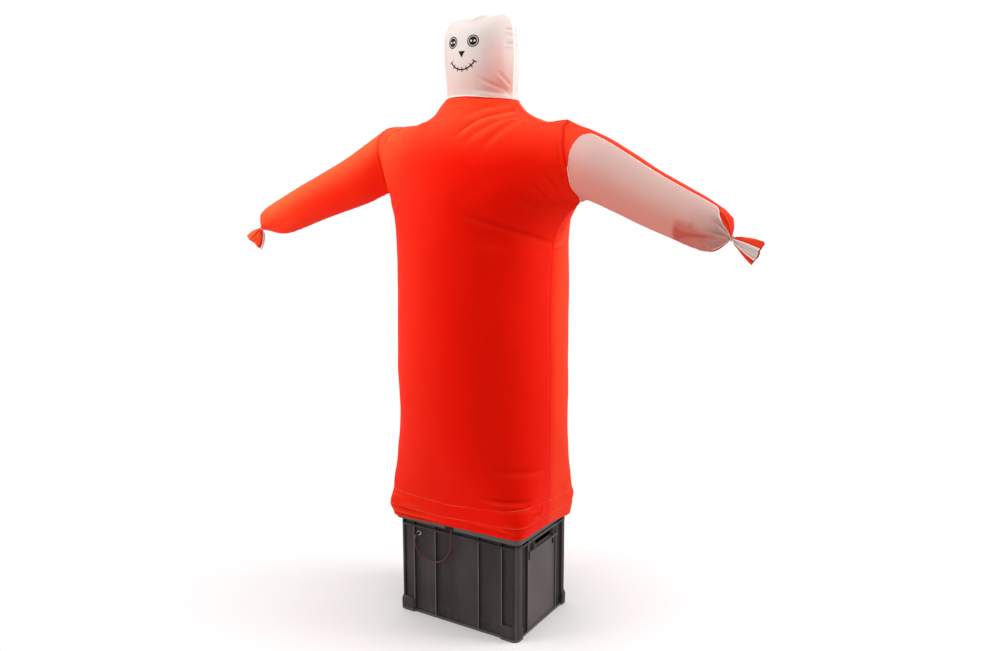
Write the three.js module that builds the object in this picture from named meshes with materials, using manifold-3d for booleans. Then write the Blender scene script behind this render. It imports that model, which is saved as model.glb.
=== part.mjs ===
// Inflatable scarecrow on a stacking crate.
// Millimetres, +Z up, the face and the crate's long side towards -Y, the crate's underside at z = 0.
import * as THREE from "three";
import { LoftGeometry } from "three/addons/geometries/LoftGeometry.js";
import { mergeGeometries, mergeVertices } from "three/addons/utils/BufferGeometryUtils.js";
import Module from "manifold-3d";

const wasm = await Module();
wasm.setup();

// Cloth and sewing
const CLOTH = 2;
const SEAM_GAP = 0.8;
const ARMHOLE_GAP = 1.2;

// Body tube: its sections from the hem on the crate up to the neck
const HEM_ASKEW = 7;
const HEM_HIGH_POINT = THREE.MathUtils.degToRad(-37);
const HEM_ASKEW_ENDS_AT = 460;
const BODY_COLUMNS = { front: 28, back: 20 };
const BODY = table(
  "tubeX edgeX frontEdgeY backEdgeY edgeZ frontY backY midZ square steps",
  [208, 208, -48, -48, 281, -158, 158, 281, 14, 1], // hem edge
  [213, 213, -48, -48, 306, -165, 165, 306, 10, 1], // turn over the crate's rim
  [217, 216, -48, -48, 352, -174, 174, 352, 5.7, 1], // upper row of stitching
  [221.5, 219, -48, -48, 404, -187, 187, 404, 3.55, 2],
  [227, 223, -48, -48, 490, -205, 205, 490, 2.5, 2],
  [230, 225, -48, -48, 700, -229, 229, 700, 2.05, 3],
  [230, 225, -48, -48, 990, -230, 228, 990, 2, 2],
  [230, 229, -48, -48, 1050, -229, 224, 1052, 2, 1],
  [231, 258, -48, -48, 1098, -226, 218, 1106, 2, 1],
  [232, 310, -48, -48, 1140, -221, 208, 1152, 2, 2], // underarm
  [232, 306, -96, 6, 1178, -214, 196, 1192, 2, 2],
  [230, 300, -122, 26, 1240, -199, 176, 1250, 2, 2],
  [222, 290, -98, 4, 1298, -175, 153, 1300, 2, 2],
  [205, 275, -48, -48, 1335, -146, 130, 1334, 2, 2], // shoulder tip
  [165, 190, -36, -36, 1340, -122, 116, 1354, 2, 2],
  [118, 126, -12, -12, 1366, -104, 101, 1378, 2, 2],
  [92, 92, 0, 0, 1402, -91, 89, 1402, 2, 0], // neck seam
);
const UNDERARM_ROW = 9;
const SHOULDER_ROW = 13;
const FLARE_WIDTH = 68;
const LEFT_UNDERARM = { z: 1195, reach: 100, inwards: 50, up: 30 };

// Head: two rounded panels sewn up the sides and over the top
const HEAD_COLUMNS = { front: 12, back: 12 };
const HEAD = table(
  "tubeX edgeX frontEdgeY backEdgeY edgeZ frontY backY midZ square steps",
  [91, 91, 0, 0, 1402.4, -91, 88, 1402.4, 2, 2], // neck seam
  [94, 94, 0, 0, 1450, -95, 77, 1452, 2, 2],
  [96, 96, 0, 0, 1513, -96, 66, 1516, 2.1, 2],
  [94, 94, 0, 0, 1558, -87, 54, 1564, 2.3, 2],
  [88, 88, 0, 0, 1586, -62, 37, 1590, 2.6, 1],
  [80, 80, 0, 0, 1598, -34, 20, 1601, 3, 1],
  [68, 68, -2.15, 2.15, 1604, -2.2, 2.2, 1606, 4, 0], // top seam
);

// Sleeves: half sizes of the tube along its axis, the share of them that a slanted underside keeps, the pinch under
// the tie, and the flared tail
const SLEEVE = table(
  "along halfUp halfDeep slanted steps",
  [80, 75, 75, 1, 2],
  [200, 65.5, 65.5, 1, 2],
  [320, 58, 58, 1, 1],
  [385, 53.5, 53.5, 0.86, 1],
  [407, 49.5, 49.5, 0.62, 1],
  [422, 42, 42, 0.46, 1],
  [432, 31, 31, 0.42, 1],
  [438, 20, 20, 0.46, 1],
  [442, 10.5, 10.5, 0.65, 1],
  [444.5, 4.6, 4.6, 1, 1],
  [449.5, 4.6, 4.6, 1, 1], // end of the pinch
  [456, 8, 5.5, 1, 1],
  [468, 14, 8, 1, 1],
  [488, 22, 9, 1, 1],
  [515, 28, 8.5, 1, 0], // tail end
);
const SLEEVE_ROOT_STEPS = 3;
const SEAM_SETTLES_BY_ROW = 2;
const TIE_ALONG = 447;
const PINCH_END = 449.5;
const TAIL_WAVES = 3;
const TAIL_WAVE_DEPTH = 3.5;
const ARMHOLE_CENTRE = new THREE.Vector3(293, -48, 1238);

// What differs between the two arms. Seams are places round the sleeve: 0 is the underarm, 8 the top.
const ARMS = {
  right: {
    side: 1,
    tie: new THREE.Vector3(702, -110, 1066),
    girth: 1,
    slant: 0,
    rootLift: 7,
    tail: new THREE.Vector3(0.89, -0.16, -0.42),
    tailStretch: 1,
    rootTopSeam: 4,
    topSeam: 7.3,
    bottomSeam: -0.4,
    columns: { front: 8, back: 12 },
    colours: { front: "white", back: "red" },
  },
  left: {
    side: -1,
    tie: new THREE.Vector3(-713, -110, 1056),
    girth: 0.91,
    slant: 1,
    rootLift: 0,
    tail: new THREE.Vector3(-0.58, -0.12, -0.8),
    tailStretch: 0.8,
    rootTopSeam: 8,
    topSeam: 8,
    bottomSeam: 0,
    columns: { front: 8, back: 8 },
    colours: { front: "red", back: "white" },
  },
};

// Main folds of the body's front: soft troughs from one place to another, as (x, z) seen from the front
const FRONT_FOLDS = table(
  "fromX fromZ toX toZ width depth",
  [40, 1120, 224, 1050, 30, 7], // chest crease to the underarm
  [60, 1086, 220, 1040, 26, 3],
  [88, 1392, -70, 1330, 24, 5], // sweeps from the neck
  [96, 1378, 10, 1296, 26, 4],
  [20, 384, 190, 396, 26, 5], // slack above the hem
  [60, 452, 222, 462, 28, 3],
);
const FOLD_FADE_COLUMNS = 3;

// Ties round the wrists
const TIE_CORD_RADIUS = 0.9;
const TIE_RING_RADIUS = 5.9;

// Stacking crate
const CRATE_TOP = 320;
const CRATE_FLOOR = 4;
const WALL = { halfX: 184, halfY: 134, radius: 13 };
const CAVITY = { halfX: 181, halfY: 131, radius: 10 };
const POST = { halfX: 189, halfY: 139, radius: 16 };
const POST_INNER_X = 175;
const POST_INNER_Y = 111;
const FOOT = { halfX: 193, halfY: 143, radius: 18 };
const FOOT_INNER_X = 142;
const FOOT_STRAIGHT = 27;
const FOOT_TOP = 40;
const BASE_RIM = { halfX: 188, halfY: 138, radius: 15 };
const BASE_RIM_TOP = 7;
const LEDGE = { halfX: 189.5, halfY: 139.5, radius: 16.5 };
const LEDGE_BOTTOM = 250;
const LEDGE_TOP = 256.4;
const SKIRT = { halfX: 200, halfY: 150, radius: 20 };
const SKIRT_INSIDE = { halfX: 197, halfY: 147, radius: 17 };
const SKIRT_BOTTOM = 271.5;
const RIM_PLATE = 4;
const RIB_THICK = 2.6;
const RIB_SHORT = 0.6;
const FRONT_RIBS_X = [-142, -70, 70, 142];
const SIDE_RIB_Y = 78;
const GRIP = { halfWidth: 50, bottom: 232, top: 250 };
const GRIP_RIB_Y = 54;
const GRIP_SILL = { halfWidth: 79, bottom: 225, top: 228.5, reach: 194 };
const DRAIN_SLOT = { fromY: 62, toY: 70, bottom: 200, top: 222 };
const NOTCH = { fromX: -28, toX: 0, top: 302 };

// Blower lead: from the notch in the crate's rim round to the socket on its front
const SOCKET_AT = new THREE.Vector3(-126, -134, 234);
const SOCKET_RADIUS = 7.5;
const SOCKET_HOLE = 4;
const SOCKET_THICK = 4;
const BOOT_RADIUS = 3.4;
const LEAD_RADIUS = 2;
const LEAD_STEPS = 30;
const LEAD_ROUTE = [
  [-8, -140.5, 294],
  [-8, -141.5, 285],
  [-8, -145.5, 276.5],
  [-8, -149.6, 267.5],
  [-8, -150.6, 257],
  [-8, -150.4, 246],
  [-9, -149, 234],
  [-12, -147, 219],
  [-19, -145, 202],
  [-29, -144, 187.5],
  [-42, -143.4, 175.5],
  [-57, -143, 167.5],
  [-73, -142.8, 164.3],
  [-89, -143, 165],
  [-104, -143.4, 169.5],
  [-117, -144, 178],
  [-126, -145, 189],
  [-130.8, -146.6, 201],
  [-131, -148.6, 211.5],
  [-129.5, -149.6, 219.3],
];
const BOOT_ROUTE = [
  [-126, -138.4, 234],
  [-126, -144, 233.4],
  [-126.6, -148.2, 230.2],
  [-127.9, -149.7, 226],
  [-129.5, -149.7, 219.95],
];

const FINISH = {
  red: new THREE.MeshStandardMaterial({ color: 0xf0280f, roughness: 0.7, metalness: 0 }),
  white: new THREE.MeshStandardMaterial({ color: 0xe8dcd4, roughness: 0.75, metalness: 0 }),
  crate: new THREE.MeshStandardMaterial({ color: 0x3c3735, roughness: 0.55, metalness: 0 }),
  metal: new THREE.MeshStandardMaterial({ color: 0xc8c8c8, roughness: 0.25, metalness: 1 }),
  lead: new THREE.MeshStandardMaterial({ color: 0x5a1e1e, roughness: 0.5, metalness: 0 }),
  string: new THREE.MeshStandardMaterial({ color: 0xd8d2c8, roughness: 0.9, metalness: 0 }),
};

/** Turns rows of numbers into objects with the named columns. */
function table(columns, ...rows) {
  const names = columns.split(" ");
  return rows.map((row) => Object.fromEntries(names.map((name, i) => [name, row[i]])));
}

/** Places between a table's rows, with each row's own number of steps to the next. */
function placesOf(rows) {
  const places = [];
  rows.forEach((row, i) => {
    for (let step = 0; step < Math.max(row.steps, 1); step++) {
      places.push(i + (row.steps ? step / row.steps : 0));
    }
  });
  return places;
}

/** A function that reads a table smoothly at any place between its rows. */
function smoothReader(rows) {
  const names = Object.keys(rows[0]);
  const run = [0];
  for (let i = 1; i < rows.length; i++) {
    const [a, b] = [rows[i - 1], rows[i]];
    const atEdge = Math.hypot(b.edgeX - a.edgeX, b.frontEdgeY - a.frontEdgeY, b.edgeZ - a.edgeZ);
    const atMiddle = Math.hypot(b.frontY - a.frontY, b.midZ - a.midZ);
    run.push(run[i - 1] + (atEdge + atMiddle) / 2);
  }
  const values = rows.flatMap((row) => Object.values(row));
  const spline = new THREE.CubicInterpolant(run, values, names.length);
  return (place) => {
    const from = Math.min(Math.floor(place), rows.length - 2);
    const numbers = spline.evaluate(THREE.MathUtils.lerp(run[from], run[from + 1], place - from));
    return Object.fromEntries(names.map((name, i) => [name, numbers[i]]));
  };
}

function signedPower(value, power) {
  return Math.sign(value) * Math.abs(value) ** power;
}

/** One arch of cloth across a section, evenly spaced, with its outer face on the outside of the turn. */
function arch(section, side, columns) {
  const edgeY = section[side + "EdgeY"];
  const apexY = section[side + "Y"];
  const power = 2 / section.square;
  const reach = Math.acos(signedPower(edgeY / apexY, 1 / power));
  const flare = section.edgeX - section.tubeX * Math.sin(reach) ** power;
  const facing = -Math.sign(apexY);
  const arcSize = (section.tubeX + Math.abs(apexY)) / 2;
  const fine = columns * 4;
  const points = [];
  for (let i = 0; i <= fine; i++) {
    const turn = THREE.MathUtils.lerp(-reach, reach, i / fine);
    const climb = THREE.MathUtils.smoothstep(Math.abs(turn) / reach, 0, 1);
    const fromEdge = (reach - Math.abs(turn)) * arcSize;
    const spread = (flare * Math.exp(-fromEdge / FLARE_WIDTH) * Math.sin(turn)) / Math.sin(reach);
    points.push(
      new THREE.Vector3(
        facing * (section.tubeX * signedPower(Math.sin(turn), power) + spread),
        apexY * signedPower(Math.cos(turn), power),
        THREE.MathUtils.lerp(section.midZ, section.edgeZ, climb),
      ),
    );
  }
  return new THREE.CatmullRomCurve3(points).getSpacedPoints(columns);
}

/** Lets the hem hang a little askew round the crate. */
function skewHem(point) {
  const fade = THREE.MathUtils.clamp((HEM_ASKEW_ENDS_AT - point.z) / 150, 0, 1);
  point.z += HEM_ASKEW * fade * Math.cos(Math.atan2(point.y, point.x) - HEM_HIGH_POINT);
}

/** Draws the left underarm in and up, where that sleeve pulls harder. */
function drawLeftUnderarm(point) {
  const { z, reach, inwards, up } = LEFT_UNDERARM;
  const away = (point.z - z) / reach;
  const pull = Math.exp(-away * away) * THREE.MathUtils.smoothstep(-point.x, 200, 300);
  point.x += inwards * pull;
  point.z += up * pull;
}

/** How deep the folds press in at a place on the front. */
function foldDepth(x, z) {
  const place = new THREE.Vector3(x, 0, z);
  let deep = 0;
  for (const fold of FRONT_FOLDS) {
    const line = new THREE.Line3(
      new THREE.Vector3(fold.fromX, 0, fold.fromZ),
      new THREE.Vector3(fold.toX, 0, fold.toZ),
    );
    const along = line.closestPointToPointParameter(place, true);
    const away = line.at(along, new THREE.Vector3()).distanceTo(place) / fold.width;
    deep += fold.depth * Math.exp(-away * away) * (1 - (1 - along) ** 3);
  }
  return deep;
}

/** Unit normals of a grid of points, from its rows and columns. */
function gridNormals(rows) {
  const slope = (before, here, after, beyond) => {
    if (before && after) return after.clone().sub(before);
    const [near, far] = after ? [after, beyond] : [before, beyond];
    const tangent = near.clone().multiplyScalar(4).sub(far).addScaledVector(here, -3);
    return after ? tangent : tangent.negate();
  };
  return rows.map((row, i) =>
    row.map((here, j) => {
      const across = slope(row[j - 1], here, row[j + 1], row[j + 2] ?? row[j - 2]);
      const [below, above] = [rows[i - 1]?.[j], rows[i + 1]?.[j]];
      const beyond = above ? rows[i + 2]?.[j] : rows[i - 2]?.[j];
      return across.cross(slope(below, here, above, beyond)).normalize();
    }),
  );
}

/** Two panels sewn together along both sides: their outer rows and their inner rows, a cloth's thickness in. */
function sewnPair(frontRows, backRows) {
  const panels = { front: { outer: frontRows }, back: { outer: backRows } };
  const normals = { front: gridNormals(frontRows), back: gridNormals(backRows) };
  frontRows.forEach((row, i) => {
    const ends = [
      [0, backRows[i].length - 1],
      [row.length - 1, 0],
    ];
    for (const [a, b] of ends) {
      if (row[a].distanceTo(backRows[i][b]) > SEAM_GAP) continue;
      const own = normals.front[i][a];
      const mitre = own.clone().add(normals.back[i][b]).normalize();
      mitre.divideScalar(Math.max(mitre.dot(own), 0.6));
      normals.front[i][a] = mitre;
      normals.back[i][b] = mitre;
    }
  });
  for (const side of ["front", "back"]) {
    const panel = panels[side];
    panel.inner = panel.outer.map((row, i) =>
      row.map((point, j) => point.clone().addScaledVector(normals[side][i][j], -CLOTH)),
    );
  }
  return panels;
}

/** Draws both ends of a row in by half the seam's gap. */
function trimmed(row) {
  const last = row.length - 1;
  const toward = (from, to) =>
    from.clone().addScaledVector(to.clone().sub(from).normalize(), SEAM_GAP / 2);
  return row.map((point, i) => {
    if (i === 0) return toward(point, row[1]);
    return i === last ? toward(point, row[last - 1]) : point;
  });
}

/** A closed sheet of cloth between its outer and inner rows, with a strip along its first and last edge. */
function clothPanel({ outer, inner }) {
  const face = outer.map(trimmed);
  const lining = inner.map(trimmed);
  const rings = face.map((row, i) => [...row, ...lining[i].slice().reverse()]);
  const firstEdge = [lining[0], face[0]];
  const lastEdge = [face.at(-1), lining.at(-1)];
  return mergeGeometries([
    new LoftGeometry(rings),
    new LoftGeometry(firstEdge, { closed: false }),
    new LoftGeometry(lastEdge, { closed: false }),
  ]);
}

/** Rows of arches for one side of a tube that a table describes. */
function archRows(rows, side, columns) {
  const read = smoothReader(rows);
  return placesOf(rows).map((place) => {
    const section = read(place);
    const [before, after] = [rows[Math.floor(place)], rows[Math.ceil(place)]];
    if (before.frontEdgeY === before.backEdgeY && after.frontEdgeY === after.backEdgeY) {
      const seamY = (section.frontEdgeY + section.backEdgeY) / 2;
      Object.assign(section, { frontEdgeY: seamY, backEdgeY: seamY });
    }
    return arch(section, side, columns);
  });
}

function bodyPanels() {
  const front = archRows(BODY, "front", BODY_COLUMNS.front);
  const back = archRows(BODY, "back", BODY_COLUMNS.back);
  [...front, ...back].flat().forEach(skewHem);
  [...front, ...back].flat().forEach(drawLeftUnderarm);
  for (const row of front) {
    row.forEach((point, j) => {
      const fromSeam = Math.min(j, row.length - 1 - j);
      point.y += foldDepth(point.x, point.z) * THREE.MathUtils.smoothstep(fromSeam, 0, FOLD_FADE_COLUMNS);
    });
  }
  return sewnPair(front, back);
}

function headPanels() {
  const front = archRows(HEAD, "front", HEAD_COLUMNS.front);
  const back = archRows(HEAD, "back", HEAD_COLUMNS.back);
  return sewnPair(front, back);
}

/** The armhole's edge as a ring of points, from the underarm up the front and down the back. */
function armholeRing(body, face, side) {
  const places = placesOf(BODY);
  const rows = places.map((place, i) => [place, i]);
  const inArmhole = rows.filter(([place]) => place >= UNDERARM_ROW && place <= SHOULDER_ROW);
  const edge = (panel, atStart) => inArmhole.map(([, i]) => panel[face][i].at(atStart ? 0 : -1));
  const up = edge(body.front, side < 0);
  const down = edge(body.back, side > 0).reverse();
  return [...up, ...down.slice(1, -1)];
}

/** A place round a ring of points, where whole numbers are the points themselves. */
function roundRing(ring, place) {
  const turn = THREE.MathUtils.euclideanModulo(place, ring.length);
  const from = Math.floor(turn);
  return ring[from].clone().lerp(ring[(from + 1) % ring.length], turn - from);
}

function armholeCentre(arm) {
  return ARMHOLE_CENTRE.clone().multiply(new THREE.Vector3(arm.side, 1, 1));
}

/** The sleeve's own directions: along the arm, up across it, and to its front. */
function sleeveAxes(direction) {
  const along = direction.clone().normalize();
  const up = new THREE.Vector3(0, 0, 1).addScaledVector(along, -along.z).normalize();
  const front = new THREE.Vector3(0, -1, 0).addScaledVector(along, along.y);
  front.addScaledVector(up, -front.dot(up)).normalize();
  return { along, up, front };
}

/** One point of the sleeve: place 0 is underneath, a quarter turn is the front, half a turn the top. */
function sleevePoint(arm, section, place, ringLength) {
  const axes = sleeveAxes(arm.tie.clone().sub(armholeCentre(arm)));
  const past = Math.max(section.along - PINCH_END, 0) * arm.tailStretch;
  const inTail = Math.min(past / 10, 1);
  const lie = past > 0 ? sleeveAxes(arm.tail) : axes;
  const middle = arm.tie.clone();
  middle.addScaledVector(axes.along, Math.min(section.along, PINCH_END) - TIE_ALONG);
  middle.addScaledVector(lie.along, past);
  middle.addScaledVector(axes.up, arm.rootLift * (1 - THREE.MathUtils.smoothstep(section.along, 80, 280)));
  const turn = (place / ringLength) * 2 * Math.PI;
  const below = arm.slant * (1 - section.slanted) * THREE.MathUtils.smoothstep(Math.cos(turn), -0.2, 0.8);
  const wave = inTail * TAIL_WAVE_DEPTH * Math.cos(TAIL_WAVES * turn);
  const girth = section.along < TIE_ALONG - 10 ? arm.girth : 1;
  return middle
    .addScaledVector(lie.up, -section.halfUp * girth * (1 - below) * Math.cos(turn))
    .addScaledVector(lie.front, (section.halfDeep * girth + wave) * Math.sin(turn));
}

/** Rows of sections between a table's rows, evenly stepped. */
function evenSections(rows) {
  return placesOf(rows).map((place) => {
    const from = Math.min(Math.floor(place), rows.length - 2);
    const [a, b] = [rows[from], rows[from + 1]];
    const mix = (name) => THREE.MathUtils.lerp(a[name], b[name], place - from);
    return { along: mix("along"), halfUp: mix("halfUp"), halfDeep: mix("halfDeep"), slanted: mix("slanted") };
  });
}

/** The sleeve's first ring: the armhole's edge drawn into the opening, along the body's face, by the gap. */
function sleeveRoot(arm, body) {
  const outer = armholeRing(body, "outer", arm.side);
  const inner = armholeRing(body, "inner", arm.side);
  const inwards = outer.map((point, i) => {
    const normal = point.clone().sub(inner[i]).normalize();
    return armholeCentre(arm).sub(point).projectOnPlane(normal).setLength(ARMHOLE_GAP);
  });
  const drawnIn = (ring) => ring.map((point, i) => point.clone().add(inwards[i]));
  return { outer: drawnIn(outer), inner: drawnIn(inner) };
}

function sleevePanels(arm, body) {
  const roots = sleeveRoot(arm, body);
  const around = roots.outer.length;
  const sections = evenSections(SLEEVE);
  const rowCount = SLEEVE_ROOT_STEPS + sections.length;
  const seams = (row) => {
    if (sections[row - SLEEVE_ROOT_STEPS]?.along > PINCH_END) return [0, around / 2];
    const settled = THREE.MathUtils.smoothstep(row, 0, SEAM_SETTLES_BY_ROW);
    return [arm.bottomSeam * settled, THREE.MathUtils.lerp(arm.rootTopSeam, arm.topSeam, settled)];
  };
  const pointAt = (row, place) => {
    if (row >= SLEEVE_ROOT_STEPS) {
      return sleevePoint(arm, sections[row - SLEEVE_ROOT_STEPS], place, around);
    }
    const root = roundRing(roots.outer, place);
    return root.lerp(sleevePoint(arm, sections[0], place, around), row / SLEEVE_ROOT_STEPS);
  };
  const panelRows = (from, to, columns) =>
    Array.from({ length: rowCount }, (_, row) => {
      const [start, end] = [from(seams(row)), to(seams(row))];
      const places = Array.from({ length: columns + 1 }, (_, j) => THREE.MathUtils.lerp(start, end, j / columns));
      const points = places.map((place) => pointAt(row, place));
      return { places, points };
    });
  const strips = {
    front: panelRows(([bottom]) => bottom, ([, top]) => top, arm.columns.front),
    back: panelRows(([, top]) => top, ([bottom]) => bottom + around, arm.columns.back),
  };
  const faceOut = (points) => (arm.side > 0 ? points.slice().reverse() : points);
  const outside = (strip) => strip.map(({ points }) => faceOut(points));
  const panels = sewnPair(outside(strips.front), outside(strips.back));
  for (const side of ["front", "back"]) {
    const root = strips[side][0].places.map((place) => roundRing(roots.inner, place));
    panels[side].inner[0] = faceOut(root);
  }
  return panels;
}

/** A ring of cord round the pinched wrist. */
function tieGeometry(arm) {
  const facing = new THREE.Quaternion().setFromUnitVectors(
    new THREE.Vector3(0, 0, 1),
    arm.tie.clone().sub(armholeCentre(arm)).normalize(),
  );
  const ring = new THREE.TorusGeometry(TIE_RING_RADIUS, TIE_CORD_RADIUS, 8, 18);
  return ring.applyQuaternion(facing).translate(arm.tie.x, arm.tie.y, arm.tie.z);
}

/** A geometry as a solid that can be joined and cut. */
function solidOf(geometry) {
  const bare = new THREE.BufferGeometry().copy(geometry);
  bare.deleteAttribute("normal");
  bare.deleteAttribute("uv");
  const merged = mergeVertices(bare, 1e-4);
  return new wasm.Manifold(
    new wasm.Mesh({
      numProp: 3,
      vertProperties: merged.attributes.position.array,
      triVerts: new Uint32Array(merged.index.array),
    }),
  );
}

function geometryOf(solid) {
  const { vertProperties, triVerts } = solid.getMesh();
  const geometry = new THREE.BufferGeometry();
  geometry.setAttribute("position", new THREE.BufferAttribute(vertProperties, 3));
  geometry.setIndex(new THREE.BufferAttribute(triVerts, 1));
  geometry.computeVertexNormals();
  return geometry;
}

/** The outline of a rectangle with rounded corners, at one height. */
function outlineAt({ halfX, halfY, radius }, z) {
  const shape = new THREE.Shape();
  const [x, y] = [halfX - radius, halfY - radius];
  shape.absarc(x, y, radius, 0, Math.PI / 2);
  shape.absarc(-x, y, radius, Math.PI / 2, Math.PI);
  shape.absarc(-x, -y, radius, Math.PI, Math.PI * 1.5);
  shape.absarc(x, -y, radius, Math.PI * 1.5, Math.PI * 2);
  return shape.getPoints(4).map((point) => new THREE.Vector3(point.x, point.y, z));
}

/** A solid block through outlines at rising heights. */
function tower(...levels) {
  const sections = levels.map(([outline, z]) => outlineAt(outline, z));
  return solidOf(new LoftGeometry(sections, { capStart: true, capEnd: true }));
}

/** A hollow band between two outlines. */
function band(outside, inside, bottom, top) {
  return tower([outside, bottom], [outside, top]).subtract(tower([inside, bottom - 1], [inside, top + 1]));
}

function block(fromX, toX, fromY, toY, fromZ, toZ) {
  const box = new THREE.BoxGeometry(toX - fromX, toY - fromY, toZ - fromZ);
  return solidOf(box.translate((fromX + toX) / 2, (fromY + toY) / 2, (fromZ + toZ) / 2));
}

/** The four upright corners of the crate from a place on its front, as blocks that reach past its outside. */
function cornerBlocks(innerX) {
  const [farX, farY] = [SKIRT.halfX, SKIRT.halfY];
  const corners = [
    block(innerX, farX, POST_INNER_Y, farY, 0, CRATE_TOP),
    block(-farX, -innerX, POST_INNER_Y, farY, 0, CRATE_TOP),
    block(innerX, farX, -farY, -POST_INNER_Y, 0, CRATE_TOP),
    block(-farX, -innerX, -farY, -POST_INNER_Y, 0, CRATE_TOP),
  ];
  return corners.reduce((all, corner) => all.add(corner));
}

function crateShell() {
  const posts = tower([POST, 0], [POST, SKIRT_BOTTOM + 3]);
  const feet = tower([FOOT, 0], [FOOT, FOOT_STRAIGHT], [POST, FOOT_TOP]);
  const outside = tower([WALL, 0], [WALL, CRATE_TOP])
    .add(posts.intersect(cornerBlocks(POST_INNER_X)))
    .add(feet.intersect(cornerBlocks(FOOT_INNER_X)))
    .add(tower([BASE_RIM, 0], [BASE_RIM, BASE_RIM_TOP]))
    .add(tower([LEDGE, LEDGE_BOTTOM], [LEDGE, LEDGE_TOP]))
    .add(band(SKIRT, SKIRT_INSIDE, SKIRT_BOTTOM, CRATE_TOP))
    .add(tower([SKIRT, CRATE_TOP - RIM_PLATE], [SKIRT, CRATE_TOP]));
  return outside;
}

/** Upright ribs on all four sides, and the sill and small ribs round each grip. */
function crateRibs() {
  const thick = RIB_THICK / 2;
  const reachX = POST.halfX - RIB_SHORT;
  const reachY = POST.halfY - RIB_SHORT;
  const ribs = FRONT_RIBS_X.map((x) => block(x - thick, x + thick, -reachY, reachY, 1, SKIRT_BOTTOM + 2));
  for (const mirror of [-1, 1]) {
    const y = mirror * SIDE_RIB_Y;
    ribs.push(block(-reachX, reachX, y - thick, y + thick, 1, SKIRT_BOTTOM + 2));
    const gripY = mirror * GRIP_RIB_Y;
    const { reach } = GRIP_SILL;
    ribs.push(block(-reach, reach, gripY - thick, gripY + thick, GRIP_SILL.bottom, LEDGE_BOTTOM + 1));
  }
  const { halfWidth, bottom, top, reach } = GRIP_SILL;
  ribs.push(block(-reach, reach, -halfWidth, halfWidth, bottom, top));
  return ribs.reduce((all, rib) => all.add(rib));
}

/** What is cut from the crate: its inside, the grips, the slots under them and the notch in the rim. */
function crateCuts() {
  const farX = SKIRT.halfX + 1;
  const grip = block(-farX, farX, -GRIP.halfWidth, GRIP.halfWidth, GRIP.bottom, GRIP.top);
  const { fromY, toY, bottom, top } = DRAIN_SLOT;
  const notchY = WALL.halfY + 4;
  return tower([CAVITY, CRATE_FLOOR], [CAVITY, CRATE_TOP + 1])
    .add(grip)
    .add(block(-farX, farX, fromY, toY, bottom, top))
    .add(block(-farX, farX, -toY, -fromY, bottom, top))
    .add(block(NOTCH.fromX, NOTCH.toX, -SKIRT.halfY - 1, -notchY, SKIRT_BOTTOM - 1, NOTCH.top));
}

function crateGeometry() {
  return geometryOf(crateShell().add(crateRibs()).subtract(crateCuts()));
}

/** A metal ring set in the crate's front wall. */
function socketGeometry() {
  const profile = [
    [SOCKET_HOLE, 0.3],
    [SOCKET_RADIUS, 0.3],
    [SOCKET_RADIUS, SOCKET_THICK - 1.2],
    [SOCKET_RADIUS - 1.2, SOCKET_THICK],
    [SOCKET_HOLE, SOCKET_THICK],
    [SOCKET_HOLE, 0.3],
  ].map(([radius, height]) => new THREE.Vector2(radius, height));
  const ring = new THREE.LatheGeometry(profile, 20);
  return ring.rotateX(Math.PI).translate(SOCKET_AT.x, SOCKET_AT.y, SOCKET_AT.z);
}

/** A round tube of one radius through points. */
function tubeGeometry(points, radius, sides, steps) {
  const section = new THREE.Shape();
  for (let i = 0; i < sides; i++) {
    const turn = (i / sides) * 2 * Math.PI;
    const [x, y] = [radius * Math.cos(turn), radius * Math.sin(turn)];
    if (i === 0) section.moveTo(x, y);
    else section.lineTo(x, y);
  }
  const path = new THREE.CatmullRomCurve3(points.map((point) => new THREE.Vector3(...point)));
  return new THREE.ExtrudeGeometry(section, { steps, extrudePath: path, bevelEnabled: false });
}

function named(name, geometry, finish) {
  const mesh = new THREE.Mesh(geometry, finish);
  mesh.name = name;
  return mesh;
}

const scarecrow = new THREE.Group();
const body = bodyPanels();
scarecrow.add(named("body_front", clothPanel(body.front), FINISH.red));
scarecrow.add(named("body_back", clothPanel(body.back), FINISH.red));
const head = headPanels();
scarecrow.add(named("head_front", clothPanel(head.front), FINISH.white));
scarecrow.add(named("head_back", clothPanel(head.back), FINISH.white));
for (const [armName, arm] of Object.entries(ARMS)) {
  const sleeve = sleevePanels(arm, body);
  for (const side of ["front", "back"]) {
    const finish = FINISH[arm.colours[side]];
    scarecrow.add(named(`sleeve_${armName}_${side}`, clothPanel(sleeve[side]), finish));
  }
  scarecrow.add(named(`tie_${armName}`, tieGeometry(arm), FINISH.string));
}
scarecrow.add(named("crate", crateGeometry(), FINISH.crate));
scarecrow.add(named("socket", socketGeometry(), FINISH.metal));
scarecrow.add(named("lead_boot", tubeGeometry(BOOT_ROUTE, BOOT_RADIUS, 10, 8), FINISH.lead));
scarecrow.add(named("lead", tubeGeometry(LEAD_ROUTE, LEAD_RADIUS, 8, LEAD_STEPS), FINISH.lead));

export default scarecrow;
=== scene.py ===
"""Looks of the inflatable scarecrow that stands on a stacking crate.

The tables hold millimetres and the meshes are in metres: +Z up, the face towards -Y, the crate's
underside at z = 0.
"""

import logging
import math
from dataclasses import dataclass, field, replace
from enum import Enum
from functools import reduce
from typing import Any, Iterable, Mapping, Sequence

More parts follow.
